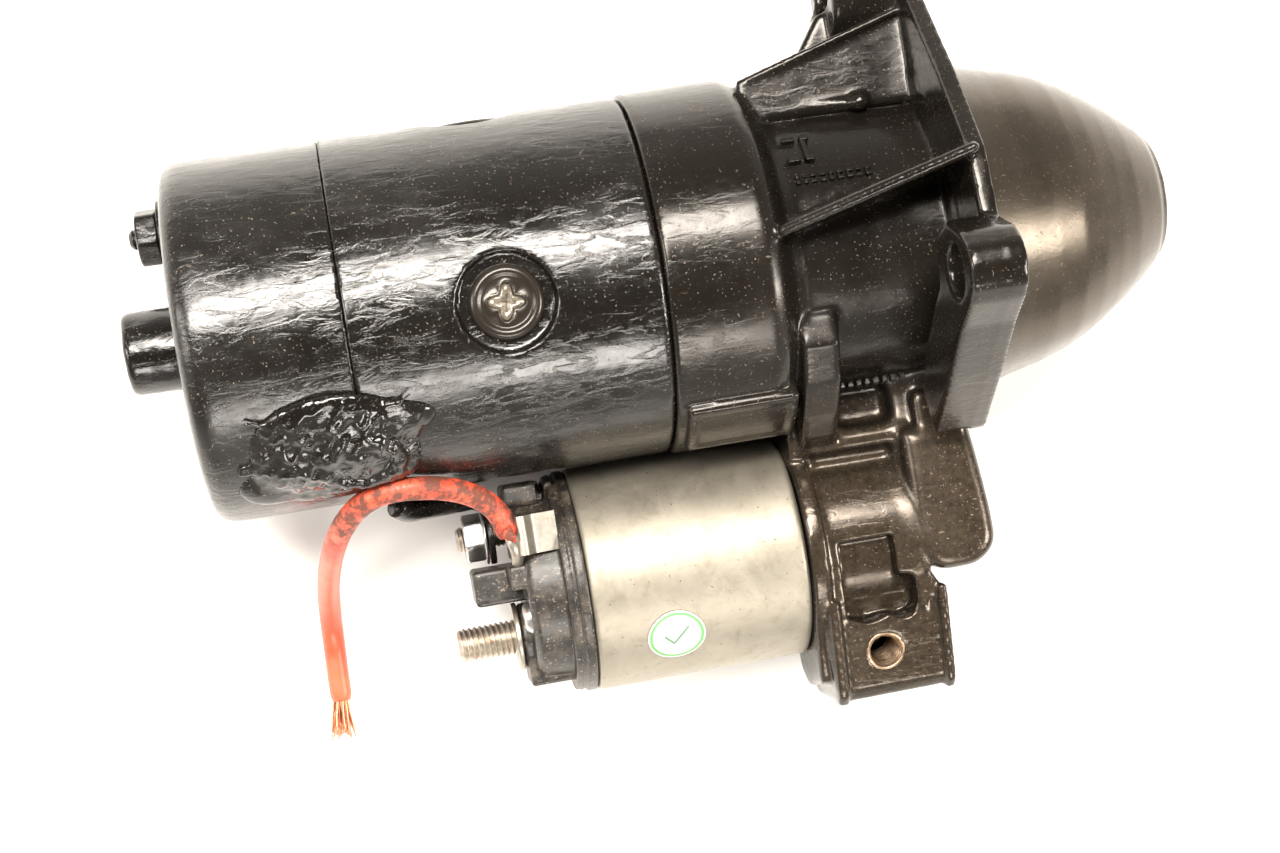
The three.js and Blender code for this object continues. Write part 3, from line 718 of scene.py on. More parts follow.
def thick_paint(name, tone, dust, shine, wrinkle, runs, metallic=0.0, side_dust_and_sheen=0.0):
    """Enamel brushed on thickly over old iron: runs, brush marks, specks of dust and dull
    patches. The last argument is how much the upward faces on the solenoid's side are
    lightened towards the dust tone: partly dust, partly a painted sheen."""
    look = Look(name, {"Metallic": metallic})
    patches = look.noise(34, 3, 0.6)
    specks = look.noise(1500, 2, 0.7)
    film = look.noise(620, 6, 0.72)
    grit = look.noise(420, 5, 0.65)
    dusty = look.ramp(patches, 0.44, 0.68)
    base = look.mix(dusty, tone, [c * 1.3 + 0.002 for c in tone])
    # upward faces on the solenoid's side are lightened towards the dust tone: partly settled dust,
    # partly a painted sheen standing in for light on the casting
    if side_dust_and_sheen:
        side = look.spread(look.axis("Y"), -0.014, -0.026)
        upward = look.node("SeparateXYZ", {0: look.node("NewGeometry").outputs["Normal"]})
        flat = look.spread(upward.outputs["Z"], 0.3, 0.95)
        cover = look.sum(look.sum(side, flat, "MULTIPLY"), side_dust_and_sheen, "MULTIPLY")
        cover = look.mix(look.ramp(film, 0.3, 0.62, 0.15), 0.0, cover)
        base = look.mix(cover, base, [c * 0.55 for c in dust])
    spotted = look.ramp(specks, 0.65, 0.71)
    spotted = look.mix(look.ramp(patches, 0.30, 0.62, 0.25), 0.0, spotted)
    look.colour(look.mix(spotted, base, dust))
    grey = look.mix(look.ramp(grit, 0.3, 0.75), shine[0], shine[1])
    grey = look.mix(dusty, grey, shine[1] + 0.05)
    look.rough(look.mix(spotted, grey, 0.5))
    along = look.stretched((0.07, 1, 1), (0, 0, 0.10))
    brush = look.noise(620, 4, 0.6, along, 0.2)
    look.bumps(
        (look.noise(60, 3, 0.5, None, 0.8), 0.0006, runs),
        (runs_and_ridges(look), 0.00016, wrinkle),
        (brush, 0.00005, wrinkle),
        (spotted, 0.00004, 0.6),
    )
    return look.material


def metal(name, tone, other_tone, shine, grain, stains, stain_tone):
    """Bare or plated metal with stains and a fine grain."""
    look = Look(name, {"Metallic": 1.0})
    fine = look.noise(grain, 4, 0.6)
    broad = look.noise(stains, 6, 0.62, None, 0.8)
    clean = look.mix(look.ramp(fine, 0.3, 0.7), tone, other_tone)
    look.colour(look.mix(look.ramp(broad, 0.55, 0.72), clean, stain_tone))
    look.rough(look.mix(look.ramp(broad, 0.3, 0.7), shine[0], shine[1]))
    look.bumps((fine, 0.00004, 0.6), (broad, 0.00012, 0.3))
    return look.material


def plated_can():
    """The solenoid's dull zinc: long faint rolling marks, handling stains and small dark spots."""
    look = Look("dull_zinc", {"Metallic": 0.78})
    drawn_marks = look.noise(420, 5, 0.6, look.stretched((1, 0.05, 0.05)))
    clouds = look.noise(75, 8, 0.72, None, 1.2)
    mottle = look.noise(260, 6, 0.7, None, 0.5)
    base = look.mix(look.ramp(clouds, 0.34, 0.68), (0.255, 0.23, 0.185), (0.335, 0.305, 0.25))
    base = look.mix(look.ramp(mottle, 0.52, 0.74, 0.0, 0.75), base, (0.20, 0.175, 0.13))
    spots = look.ramp(look.noise(1150, 2, 0.6), 0.70, 0.74)
    look.colour(look.mix(spots, base, (0.10, 0.082, 0.06)))
    look.rough(look.mix(look.ramp(clouds, 0.3, 0.7), 0.46, 0.56))
    look.bumps((clouds, 0.0006, 0.07), (drawn_marks, 0.00003, 0.5), (mottle, 0.00006, 0.35))
    return look.material


def moulded(name, tone, dust, shine=(0.42, 0.62)):
    """Black moulding plastic with a warm film of brake and road dust."""
    look = Look(name)
    film = look.noise(210, 7, 0.7)
    specks = look.noise(1700, 2, 0.6)
    base = look.mix(look.ramp(film, 0.47, 0.76, 0.0, 0.7), tone, dust)
    base = look.mix(look.ramp(specks, 0.62, 0.70, 0.0, 0.8), base, [c * 2.2 for c in dust])
    look.colour(base)
    look.rough(look.mix(look.ramp(film, 0.3, 0.7), shine[0], shine[1]))
    look.bumps((film, 0.00008, 0.5), (look.noise(2300, 2, 0.5), 0.00003, 0.6))
    return look.material


def red_cable():
    """Red PVC, greasy along the stretch that lay by the engine."""
    look = Look("red_cable", {"Specular IOR Level": 0.45})
    grime = look.noise(330, 8, 0.72)
    fine = look.noise(1900, 3, 0.7)
    high = look.spread(look.axis("Z"), 0.036, 0.050, interpolation_type="SMOOTHSTEP")
    cover = look.ramp(grime, 0.60, 0.72, 0.0, 0.35)
    cover = look.mix(high, cover, look.ramp(grime, 0.36, 0.53, 0.0, 0.96))
    fresh = look.ramp(look.noise(90, 3), 0.35, 0.7)
    fresh = look.mix(fresh, (0.80, 0.062, 0.026), (0.90, 0.13, 0.06))
    look.colour(look.mix(cover, fresh, look.mix(fine, (0.035, 0.016, 0.010), (0.14, 0.05, 0.03))))
    look.rough(look.mix(cover, 0.36, 0.66))
    look.bumps((grime, 0.00018, 0.5), (fine, 0.00004, 0.5))
    return look.material


def banded(name, scale, distortion, detail):
    """A metal look with fine lines across the shaft."""
    look = Look(name, {"Metallic": 1.0})
    inputs = {"Vector": look.where, "Scale": scale, "Distortion": distortion, "Detail": detail}
    return look, look.node("TexWave", inputs, bands_direction="X").outputs["Fac"]


def layered_steel():
    """Stacked laminations."""
    look, lines = banded("laminations_look", 320.0, 0.3, 1.0)
    look.colour(look.mix(lines, (0.16, 0.15, 0.14), (0.42, 0.40, 0.37)))
    look.rough(look.mix(look.noise(300, 4), 0.38, 0.6))
    look.bumps((lines, 0.00008, 0.8))
    return look.material


def wound_copper():
    """Enamelled copper wire."""
    look, lines = banded("winding_look", 190.0, 1.0, 2.0)
    dark = look.ramp(look.noise(120, 5, 0.6), 0.4, 0.7)
    look.colour(look.mix(dark, (0.62, 0.24, 0.10), (0.30, 0.12, 0.06)))
    look.rough(look.mix(lines, 0.45, 0.25))
    look.bumps((lines, 0.0003, 0.9))
    return look.material


def sticker_look():
    """A small white inspection sticker: a thin green ring and a plain tick, drawn by distance."""
    look = Look("inspection_sticker", {"Roughness": 0.42})
    x, y = look.axis("X"), look.axis("Y")

    def square(v):
        return look.sum(v, v, "MULTIPLY")

    away = look.sum(look.sum(square(x), square(y)), 0.5, "POWER")
    ring = look.sum(away, 0.00588, "SUBTRACT")
    ring = look.node("Math", {0: ring}, operation="ABSOLUTE").outputs[0]
    ring = look.spread(ring, 0.00046, 0.00030)

    def stroke(a, b, half):
        """1 within half of the line from a to b."""
        ex, ey = b[0] - a[0], b[1] - a[1]
        wx, wy = look.sum(x, a[0], "SUBTRACT"), look.sum(y, a[1], "SUBTRACT")
        along = look.sum(look.sum(wx, ex, "MULTIPLY"), look.sum(wy, ey, "MULTIPLY"))
        t = look.spread(along, 0.0, ex * ex + ey * ey)
        dx = look.sum(wx, look.sum(t, ex, "MULTIPLY"), "SUBTRACT")
        dy = look.sum(wy, look.sum(t, ey, "MULTIPLY"), "SUBTRACT")
        off = look.sum(look.sum(square(dx), square(dy)), 0.5, "POWER")
        return look.spread(off, half * 1.15, half * 0.85)

    tick = look.sum(
        stroke((-0.0026, 0.0002), (-0.0007, -0.0019), 0.00034),
        stroke((-0.0007, -0.0019), (0.0027, 0.0022), 0.00034), "MAXIMUM")
    paper = look.ramp(look.noise(700, 5, 0.7), 0.5, 0.75)
    paper = look.mix(paper, (0.82, 0.84, 0.76), (0.70, 0.70, 0.60))
    marked = look.mix(ring, paper, (0.10, 0.30, 0.09))
    look.colour(look.mix(tick, marked, (0.11, 0.20, 0.12)))
    look.bumps((look.noise(900, 3), 0.00003, 0.4))
    return look.material


def screw_head_look():
    """Painted over once and worn back to metal on its edges."""
    look = Look("painted_screw_head")
    worn = look.noise(420, 6, 0.7)
    patchy = look.ramp(worn, 0.36, 0.62, 0.15)
    bare = look.sum(look.worn_edges(0.0006, 0.90, 0.985), patchy, "MULTIPLY")
    look.colour(look.mix(bare, (0.020, 0.016, 0.012), (0.52, 0.45, 0.36)))
    look.metal(look.mix(bare, 0.3, 1.0))
    look.rough(look.mix(bare, 0.24, 0.32))
    look.bumps((worn, 0.00010, 0.5))
    return look.material


# the second tone is that of the specks of dust, and, darkened, of the painted sheen on the upward
# faces by the solenoid
ENAMEL, DUST_AND_SHEEN = (0.0062, 0.0050, 0.0040), (0.16, 0.115, 0.075)
# name, tone, dust, shine, wrinkle, runs, metallic, and how much dust and painted sheen lie on the
# solenoid's side
BLACK, CAST, SATIN, LUMP = [thick_paint(*row) for row in (
    ("thick_black_paint", ENAMEL, DUST_AND_SHEEN, (0.12, 0.25), 0.5, 0.50),
    ("painted_casting", (0.013, 0.0105, 0.008), DUST_AND_SHEEN, (0.14, 0.25), 0.22, 0.10, 0.45, 0.62),
    ("satin_nose_paint", (0.060, 0.049, 0.037), DUST_AND_SHEEN, (0.24, 0.32), 0.05, 0.03, 0.75),
    ("paint_over_sealant", ENAMEL, DUST_AND_SHEEN, (0.06, 0.16), 0.4, 0.5),
)]
ZINC = plated_can()
# name, two tones, shine, scale of the grain, scale of the stains, tone of the stains
TIN, BRIGHT, STEEL, OILED, THREAD, COPPER, BRONZE, TAPPED = [metal(*row) for row in (
    ("tinned_sheet", (0.30, 0.275, 0.235), (0.42, 0.395, 0.345), (0.38, 0.52), 700, 230,
     (0.30, 0.15, 0.07)),
    ("bright_zinc", (0.46, 0.46, 0.45), (0.60, 0.60, 0.58), (0.28, 0.42), 1100, 300,
     (0.42, 0.38, 0.32)),
    ("machined_steel", (0.46, 0.45, 0.43), (0.58, 0.57, 0.55), (0.24, 0.38), 1000, 90,
     (0.26, 0.22, 0.18)),
    ("oiled_steel", (0.20, 0.19, 0.18), (0.34, 0.32, 0.30), (0.22, 0.36), 900, 70,
     (0.12, 0.09, 0.06)),
    ("rusty_thread", (0.36, 0.32, 0.26), (0.50, 0.46, 0.40), (0.34, 0.52), 900, 420,
     (0.34, 0.17, 0.07)),
    ("bare_copper", (0.70, 0.30, 0.17), (0.86, 0.44, 0.28), (0.28, 0.44), 1200, 260,
     (0.36, 0.16, 0.09)),
    ("sintered_bronze", (0.48, 0.31, 0.14), (0.60, 0.42, 0.21), (0.40, 0.58), 1500, 140,
     (0.25, 0.15, 0.06)),
    ("tapped_cast_iron", (0.24, 0.17, 0.115), (0.42, 0.31, 0.215), (0.3, 0.5), 900, 300,
     (0.14, 0.10, 0.07)),
)]
CARBON = moulded("carbon_brush", (0.030, 0.026, 0.024), (0.12, 0.08, 0.06), (0.5, 0.75))
PLASTIC = moulded("black_moulding", (0.016, 0.014, 0.012), (0.12, 0.095, 0.07), (0.30, 0.48))
RED = red_cable()
STACK = layered_steel()
WINDING = wound_copper()
STICKER = sticker_look()
SCREW_HEAD = screw_head_look()

NODE_LOOKS = {
    "pole_shoe_": STACK, "field_coil_": WINDING, "pole_screw_": STEEL, "armature_core": STACK,
    "armature_winding": WINDING, "commutator": COPPER, "brush_plate": TIN, "brush_": CARBON,
    "rear_bush": BRONZE, "nose_bush": BRONZE, "lever_pin": STEEL, "contact_disc": COPPER,
    "contact_rod": BRONZE, "contact_spring": STEEL, "plunger_spring": STEEL, "core_stop": STEEL,
    "solenoid_winding": WINDING, "plunger": STEEL, "shift_lever": OILED, "stop_ring": STEEL,
    "solenoid_screw_": BRIGHT, "armature_shaft": STEEL, "clutch_drive": STEEL, "pinion": OILED,
    "through_stud_": STEEL,
}
for node_name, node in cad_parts.items():
    fits = [key for key in NODE_LOOKS if node_name.startswith(key)]
    chosen = NODE_LOOKS[max(fits, key=len)] if fits else BLACK
    for material_slot in node.material_slots:
        material_slot.material = chosen


# ---- the red lead, which is a free cord ----

LEAD_ROUTE = [
    (27.9, -52.9, 8.2), (26.4, -48.0, 9.4), (23.5, -44.4, 11.6), (19.4, -41.8, 14.4),
    (14.6, -40.1, 16.8), (10.2, -39.3, 18.6), (5.8, -38.9, 19.2), (1.6, -39.2, 18.3),
    (-2.6, -40.7, 15.4), (-6.2, -43.4, 10.6), (-9.2, -47.1, 3.6), (-11.4, -51.2, -5.2),
    (-13.0, -55.4, -14.6), (-14.2, -59.8, -23.8), (-14.9, -64.4, -31.0), (-15.3, -69.2, -35.6),
    (-15.5, -74.6, -37.6), (-15.7, -80.6, -37.9), (-15.8, -87.2, -37.9),
]


STRANDS, GOLDEN_ANGLE = 34, 2.39996
WIRE_R, BUNDLE_R = 0.24, 1.75


def make_lead():
    path = catmull(LEAD_ROUTE, 7)
    radii = np.full(len(path), LEAD_D / 2)
    radii[0] = radii[-1] = LEAD_D / 2 - 0.45
    radii[1] = radii[-2] = LEAD_D / 2 - 0.12
    sleeve = piece("red_lead_sleeve", tube_along(path, radii, 28), RED,
                   replaces=["red_lead"])
    end = path[-1]
    dice = np.random.RandomState(5)
    wires = []
    for i in range(STRANDS):
        spin, off = i * GOLDEN_ANGLE, math.sqrt((i + 0.5) / STRANDS)
        start = end + (BUNDLE_R * off * math.cos(spin), 1.6, BUNDLE_R * off * math.sin(spin))
        spread = (off * math.cos(spin), off * math.sin(spin))
        length = dice.uniform(6.2, 9.4)
        wander = dice.uniform(-0.5, 0.5, (2, 2))
        points = []
        for t in np.linspace(0, 1, 7):
            x = start[0] - 0.8 * t + spread[0] * 1.5 * t ** 1.6 + wander[0, 0] * math.sin(3 * t)
            y = start[1] - (length + 1.6) * t
            z = start[2] + spread[1] * 0.5 * t + wander[1, 0] * 0.4 * math.sin(4 * t)
            z = max(z - 0.25 * t, REST_LEVEL + 0.25)
            points.append((x + wander[0, 1] * 0.5 * math.sin(6 * t), y, z))
        wires.append(tube_along(points, [WIRE_R] * 6 + [0.2], 7))
    strands = piece("bare_strands", several(*wires), COPPER,
                    replaces=["red_lead_strands"])
    length = float(np.linalg.norm(np.diff(path, axis=0), axis=1).sum())


make_lead()


# ---- drive-end housing ----

HOUSING_STEP = 0.66
NEAR_EAR = (-13.0, 57.6)
TOP_EAR = (55.6, 9.0)
EAR_HOLE_R = 5.5
SCREW_CIRCLE = 19.2
FLANGE_BACK, FLANGE_FRONT = 131.5, 135.5
NOSE = [
    (139.5, 38.3), (144, 36.9), (148.7, 35.6), (155, 34.2), (162, 32.0), (167.5, 29.4),
    (172.6, 26.4), (178, 22.8), (182, 19.7), (185.4, 16.9), (186.3, 15.6), (186.5, 15.2),
]
BORE_R, BORE_END = 27, 181
BRACKET_TILT = math.radians(12.6)
TAP = (108.4, -93.4, 5.4)


def make_housing():
    clay = Clay((66.0, -105.6, -41.6), (189.4, 69.0, 71.4), HOUSING_STEP)
    clay.add(form_turned([
        (67.2, 0), (67.2, 40.6), (67.8, 41.1), (89.5, 41.2), (92.2, 40.2), (93.6, 37.6),
        (95.5, 34.6), (98.5, 33.2), (131.5, 32.2), (131.5, 39.5), (139, 39.5), *NOSE,
        (187.4, 15.0), (188, 14.2), (188, 0),
    ]))
    flange = fillet([
        (-3, 55.5), (-6.0, 65.2), (-9.5, 69.0), (-13.2, 69.7), (-17.6, 68.6), (-20.6, 64.6),
        (-24.9, 56), (-35, 39.8), (-46.4, 20.4), (-45, 8), (-40, 0), (-36, REST_LEVEL),
        (12, REST_LEVEL), (46, -16), *arc(TOP_EAR, 12, -60, 75, 10), (48, 27.5), (30.3, 41.5),
        (11.7, 53.8),
    ], 1.0, 2, closed=True)
    clay.add(form_x(flange, FLANGE_BACK, FLANGE_FRONT, 0.35), 1.0)
    near_ear = fillet([
        (-2.4, 57.0), (-6.0, 65.2), (-9.5, 69.0), (-13.2, 69.7), (-17.6, 68.6), (-20.6, 64.6),
        (-24.9, 56), (-35, 39.8), (-46.4, 20.4), (-36, 16), (-27, 24), (-14.5, 44.0), (-5, 47),
    ], 0.8, 2, closed=True)
    clay.add(form_x(near_ear, 123.6, 132.5, 0.3), 0.5)
    clay.add(form_rod(117, 132, 11.8, TOP_EAR, 0.8), 1.6)
    clay.add(form_z([(100, 30), (132, 28), (132, 58), (118, 56)], 3, 13, 0.6), 2.0)
    # ribs from the barrel's shoulder to the flange, each with a thin raised lip
    clay.add(form_z([(92, 28), (132, 28), (132, 48.6), (93, 37.2)], 15.0, 19.6, 0.5), 1.2)
    clay.add(form_bar((93.4, 37.0, 18.8), (131.5, 48.2, 20.4), 0.95), 0.3)
    clay.add(form_wall((90.5, 1.2), (132, 11.4), 24, 39.6, 58.6, 1.15), 1.2)
    clay.add(form_bar((93.5, 1.9, 41.2), (131.5, 11.3, 58.2), 1.35), 0.3)
    clay.add(form_ball((117, 7.6, 35.2), (4.2, 2.6, 2.2)), 1.6)
    # raised bar on the neck, and the low pad and wall beside the solenoid
    clay.add(form_bar((93, 31.0, 16.4), (118, 29.2, 19.4), 1.25), 0.8)
    clay.add(form_ball((119.2, 29.2, 20.2), (2.4, 2.0, 2.0)), 0.8)
    clay.add(form_x(ring_part(36, 43.0, 139.5, 163, 8), 69.4, 93.8, 0.6), 0.6)
    clay.cut(form_x(ring_part(42.3, 48, 143, 160.5, 8), 71.5, 92.0, 0.4), 0.5)
    clay.add(form_x([(-16, 30), (-23, 30.5), (-31, 25.6), (-38, 18.4), (-43, 12.4), (-46, 6),
                     (-46, -12), (-20, 0)], 95.6, 104.0, 0.9), 1.2)
    # solenoid flange and the round barrel behind it, with a groove along its upper side
    clay.add(form_rod(93.3, 97.4, 27.2, SOLENOID, 0.5), 0.8)
    clay.add(form_x(fillet([(-66, 6), (-66, -22), (-97, -22), (-101, -16), (-99, 1), (-74, 9.8)],
                           2, 2, True), 93.3, 97.4, 0.6), 0.8)
    clay.add(form_rod(96, 119, 24.3, SOLENOID, 0.8), 1.2)
    clay.add(form_x([(-8, -30), (-52, -32), (-52, 0), (-46, 6.4), (-42, 7.4), (-36, 7.0),
                     (-20, 10)], 93.3, 133, 0.8), 1.5)
    clay.add(form_box((97, -47.0, -14), (122.6, -42.2, 7.9), 1.9), 1.0)
    clay.cut(form_bar((99.6, -48.9, 5.4), (116.2, -49.2, 5.4), 2.3), 1.4)
    clay.add(form_x([(-43, 7.2), (-50, 6.8), (-60, 9.2), (-68, 9.9), (-76.5, 8.8), (-76, -14),
                     (-44, -14)], 117.4, 121.6, 1.9), 2.2)
    # pocket between the neck, the wall and the lever box
    clay.cut(form_box((105.0, -41.6, 1.6), (118.2, -32.6, 22), 2.6), 2.0)
    # lever box with large round corners
    lever_box = fillet([
        (118.6, -44), (118.6, -72), (123, -77.2), (132.4, -77.0), (136.9, -73.0), (136.9, -65),
        (135.4, -50), (134.4, -43.6),
    ], [1, 3, 3, 4, 4, 6, 6, 1.2], 5, closed=True)
    clay.add(form_z(lever_box, -38, 11.2, 3.2), 1.0)
    clay.add(form_z([(122.6, -46), (122.6, -37), (124, -36), (131.8, -37), (132.6, -46)],
                    -30, 10.4, 1.2), 1.0)
    clay.add(form_z([(123, -40), (123, -28), (131.8, -26), (131.8, -40)], -30, 7.5, 1.2), 1.6)
    # support bracket: its outline widens downwards, with a slanting face between two ribs
    block_outline = fillet([(96.8, -68), (118.0, -68), (118.3, -71.6), (124.0, -82.4),
                            (123.2, -103.6), (96.2, -103.8), (95.4, -92), (94.6, -74)],
                           [0, 0, 1.5, 1, 1, 1, 1, 1], 3, closed=True)
    slab = form_z(block_outline, -33, 12, 0.3)
    profile = form_x([(-66, 9.6), (-77, 8.4), (-81.5, 7.8), (-101.2, 3.2), (-103.8, 0.8),
                      (-104, -20), (-98, -27), (-76, -33), (-66, -20)], 90, 126, 0.4)
    clay.add(both(slab, profile), 0.6)
    for x0, x1 in ((96.3, 98.9), (121.8, 124.0)):
        rail = form_x([(-80.0, 9.4), (-82, 9.2), (-102.4, 4.4), (-104.4, 2.0), (-104.4, -4),
                       (-80, -2)], x0, x1, 0.35)
        clay.add(rail, 0.3)
    clay.cut(form_box((119.4, -106, 6.4), (120.9, -82.6, 22), 0.4), 0.2)
    # scooped hollow above the threaded hole, its wall straight above and wavy below
    upper = form_x([(-67.0, 22), (-67.2, 5.6), (-75, 4.4), (-85, 0.5), (-84.4, 22)],
                   100.6, 113.2, 0.3)
    clay.cut(upper, 0.4)
    lower = form_x([(-76.4, 22), (-76.6, 4.6), (-80.5, 1.4), (-84.6, 0.6), (-85.1, 22)],
                   101.4, 117.0, 1.8)
    clay.cut(lower, 0.8)
    clay.cut(form_ball((105.6, -84.6, 7.0), (3.4, 1.3, 7.0)), 0.8)
    clay.cut(form_ball((113.6, -84.9, 7.0), (2.6, 1.3, 7.0)), 0.8)
    # hollows
    clay.cut(form_turned([
        (66, 0), (66, 36.5), (89, 36.5), (94, 26.4), (139, 26.4), (141, 26), (158, 25.5),
        (164, 22), (171, 17.2), (178, 14), (180, 13.5), (180, 8.1), (186, 8.1), (186, 0),
    ]), 0.6)
    window = [(0, 0), *arc((0, 0), 52, -118, -4, 16)]
    clay.cut(form_x(window, 145.2, 178.5, 1.5), 0.9)
    for ear in (NEAR_EAR, TOP_EAR):
        clay.cut(form_rod(90, 140, EAR_HOLE_R, ear), 0.7)
    clay.cut(form_rod(90, 118, 13.4, SOLENOID))
    clay.cut(form_rod(117, 133.9, 7.4, SOLENOID))
    for side in (-1, 1):
        turn = LEVER_TILT + side * math.radians(62)
        y, z = on_solenoid(SCREW_CIRCLE * math.sin(turn), SCREW_CIRCLE * math.cos(turn))
        clay.cut(form_rod(90, 101.2, 3.0, (y, z)))
    way = form_box((108, -72.4, -7.6), (132.2, 0, 7.6))
    clay.cut(tilted(way, LEVER_TILT), 0.4)
    pin = form_post(-13.4, 13.4, 3.5, (122, -40))
    clay.cut(tilted(pin, LEVER_TILT))
    tap_hole = form_post(TAP[2] - 16, TAP[2] + 4, 3.95, TAP[:2])
    clay.cut(tilted(tap_hole, BRACKET_TILT, TAP[1:]), 0.3)
    clay.cut(form_box((60, -120, -60), (200, 100, REST_LEVEL)))

    def relief(p):
        lumps = 0.03 * value_noise(p, 8.0, 3) + 0.008 * value_noise(p, 2.6, 4)
        inside = (np.hypot(p[:, 1], p[:, 2]) < BORE_R) & (p[:, 0] < BORE_END)
        lumps[inside | (p[:, 2] < REST_LEVEL + 1.2)] = 0
        return lumps

    housing = piece("drive_housing_casting", clay.skin(2), CAST,
                    replaces=["drive_end_housing"], relief=relief)
    housing.data.materials.append(SATIN)
    centres = np.zeros(len(housing.data.polygons) * 3, np.float32)
    housing.data.polygons.foreach_get("center", centres)
    at = (centres.reshape(-1, 3) - ORIGIN) / MM
    on_nose = (at[:, 0] > FLANGE_FRONT + 0.6) & (np.hypot(at[:, 1], at[:, 2]) < 39)
    housing.data.polygons.foreach_set("material_index", on_nose.astype(np.int32))


def make_cast_marks():
    """Raised dashes on the housing's neck, where the casting carries its foundry marks."""
    dice = np.random.RandomState(4)
    dashes = []
    # x from, x to, degrees from +Z towards +Y, height of a dash and its stroke
    rows = ((98.6, 110.4, 60, 2.4, 0.8), (99.2, 103.6, 36, 7.5, 1.4),
            (99.8, 115.4, 22.5, 2.2, 0.8), (107, 121.6, -76, 2.2, 0.8))
    for start, end, angle, height, stroke in rows:
        turn = -math.radians(angle)
        half = height / 2
        x = start
        while x < end:
            wide = dice.uniform(1.0, 1.7) * stroke / 0.8
            outer = 34.0 if height < 5 else 34.3
            for side in (-1, 1):
                y = side * (half - stroke / 2)
                low = (x, y - stroke / 2, 31)
                dashes.append(turned_x(block(low, (x + wide, y + stroke / 2, outer)), turn))
            if dice.rand() < 0.7:
                upright = block((x, -half, 31), (x + stroke * 0.8, half, outer - 0.05))
                dashes.append(turned_x(upright, turn))
            x += wide + stroke * 0.8
    piece("cast_marks", several(*dashes), CAST, bevel=0.25)


def make_tap():
    """The thread that lines the bracket's hole."""
    r, outer, pitch, depth, length = 3.25, 4.6, 1.25, 0.6, 12.0
    angles = round_angles(48)
    rings = []
    for level in np.arange(0, length + 0.01, 0.125):
        phase = (level / pitch - angles / (2 * math.pi)) % 1
        radii = r + depth * np.abs(2 * phase - 1) ** 0.8
        if level < 0.5:
            radii = np.maximum(radii, 3.85 - level * 0.4)
        rings.append(ring_z(-level - 0.15, radii, angles))
    rings += [ring_z(z, outer, angles) for z in (-length - 0.15, -0.6, -0.15)]
    shape = turned_x(stitch(rings, closed_tube=True), BRACKET_TILT)
    piece("bracket_thread", moved(shape, (TAP[0], TAP[1], TAP[2] - 0.35)), TAPPED)


# ---- yoke, rear cap, and the paint and sealant where the field lead comes out ----

POLE_X, POLE_TILT = 33.7, math.radians(5.7)
SCREW_SEAT = 37.8


def worn_cylinder(p):
    """Brushed-on enamel: long runs round the body and small lumps."""
    along = p * (1, 0.35, 0.35)
    lumps = 0.045 * value_noise(along, 7, 11) + 0.012 * value_noise(p, 1.8, 12)
    lumps += 0.10 * np.maximum(value_noise(p * (0.5, 1, 1), 5, 13) - 0.35, 0)
    outside = np.hypot(p[:, 1], p[:, 2]) > 39.2
    low = p[:, 2] < REST_LEVEL + 1.5
    return np.where(outside & ~low, lumps - 0.06, 0)


def make_yoke():
    clay = Clay((-0.8, -41.8, -41.6), (68.2, 41.8, 41.6), 0.62)
    clay.add(form_turned([
        (0.05, 36), (0.05, 40.2), (0.3, 40.5), (66.3, 40.5), (66.8, 40.0), (67.3, 39.2),
        (67.3, 36),
    ]))
    for i in range(4):
        turn = POLE_TILT + i * math.pi / 2
        clay.cut(tilted(form_post(SCREW_SEAT, 50, 10.4, (POLE_X, 0), 0.2), turn), 0.9)
        clay.cut(tilted(form_post(30, 45, 4.9, (POLE_X, 0)), turn))
    piece("yoke_shell", clay.skin(1), BLACK, replaces=["yoke"],
          relief=worn_cylinder)


def make_pole_screws():
    """A domed head with a four-lobed socket, sunk in its recess."""
    angles = round_angles(72)
    rings = [[(0, 0, 0.15)]]
    for r, z in ((6.4, 0.15), (7.7, 0.25), (8.0, 0.6), (7.9, 1.2), (7.4, 1.8), (6.9, 2.05),
                 (6.4, 2.1), (5.9, 1.95), (5.5, 1.6), (5.2, 1.55)):
        rings.append(ring_z(z, r, angles))
    lobes = 3.15 + 0.95 * np.cos(4 * angles + 0.5)
    for scale, z in ((1.16, 1.62), (1.08, 1.75), (0.98, 1.5), (0.92, 0.3), (0.5, 0.2)):
        rings.append(ring_z(z, lobes * scale, angles))
    head = moved(stitch(rings + [[(0, 0, 0.18)]]), (POLE_X, 0, SCREW_SEAT - 0.1))
    for i in range(4):
        piece("pole_screw_head_" + str(i + 1), turned_x(head, POLE_TILT + i * math.pi / 2),
              SCREW_HEAD, replaces=["pole_screw_" + str(i + 1)])


STUD_ANGLE = math.radians(122)
STUD_PLACES = [
    (side * 32 * math.sin(STUD_ANGLE), side * 32 * math.cos(STUD_ANGLE)) for side in (1, -1)
]


def make_rear_cap():
    clay = Clay((-38.4, -41.8, -41.6), (1.4, 41.8, 41.6), 0.62)
    clay.add(form_turned(fillet([
        (0.2, 0), (0.2, 40.3), (-34.8, 40.3), (-34.8, 0),
    ], [0, 0.35, 5.2, 0], 5)))
    clay.cut(form_turned([(1, 36.8), (-31.2, 36.8), (-31.2, 13), (-28, 13), (-28, 8), (-39, 8),
                          (-39, 0), (2, 0)]), 0.5)
    clay.add(form_rod(-37.0, -34, 9.4, STUD_PLACES[0], 0.6), 1.6)
    clay.cut(form_rod(-40, -30, 2.8, STUD_PLACES[0]))
    clay.cut(form_rod(-34.1, -30, 2.8, STUD_PLACES[1]))
    piece("rear_cap_shell", clay.skin(1), BLACK, replaces=["commutator_end_cap"],
          relief=worn_cylinder)
    cover = fillet([(-34.4, 0), (-34.4, 10.4), (-35.8, 9.35), (-48.2, 9.2), (-48.6, 0)],
                   [0, 0.4, 0.8, 1.7, 0], 5)

    def dimples(p):
        return 0.10 * value_noise(p, 4, 21) + 0.05 * value_noise(p, 1.6, 22)

    piece("shaft_end_cover", lathe(finer(cover, 0.6)), BLACK,
          replaces=["shaft_end_cap"], relief=dimples)


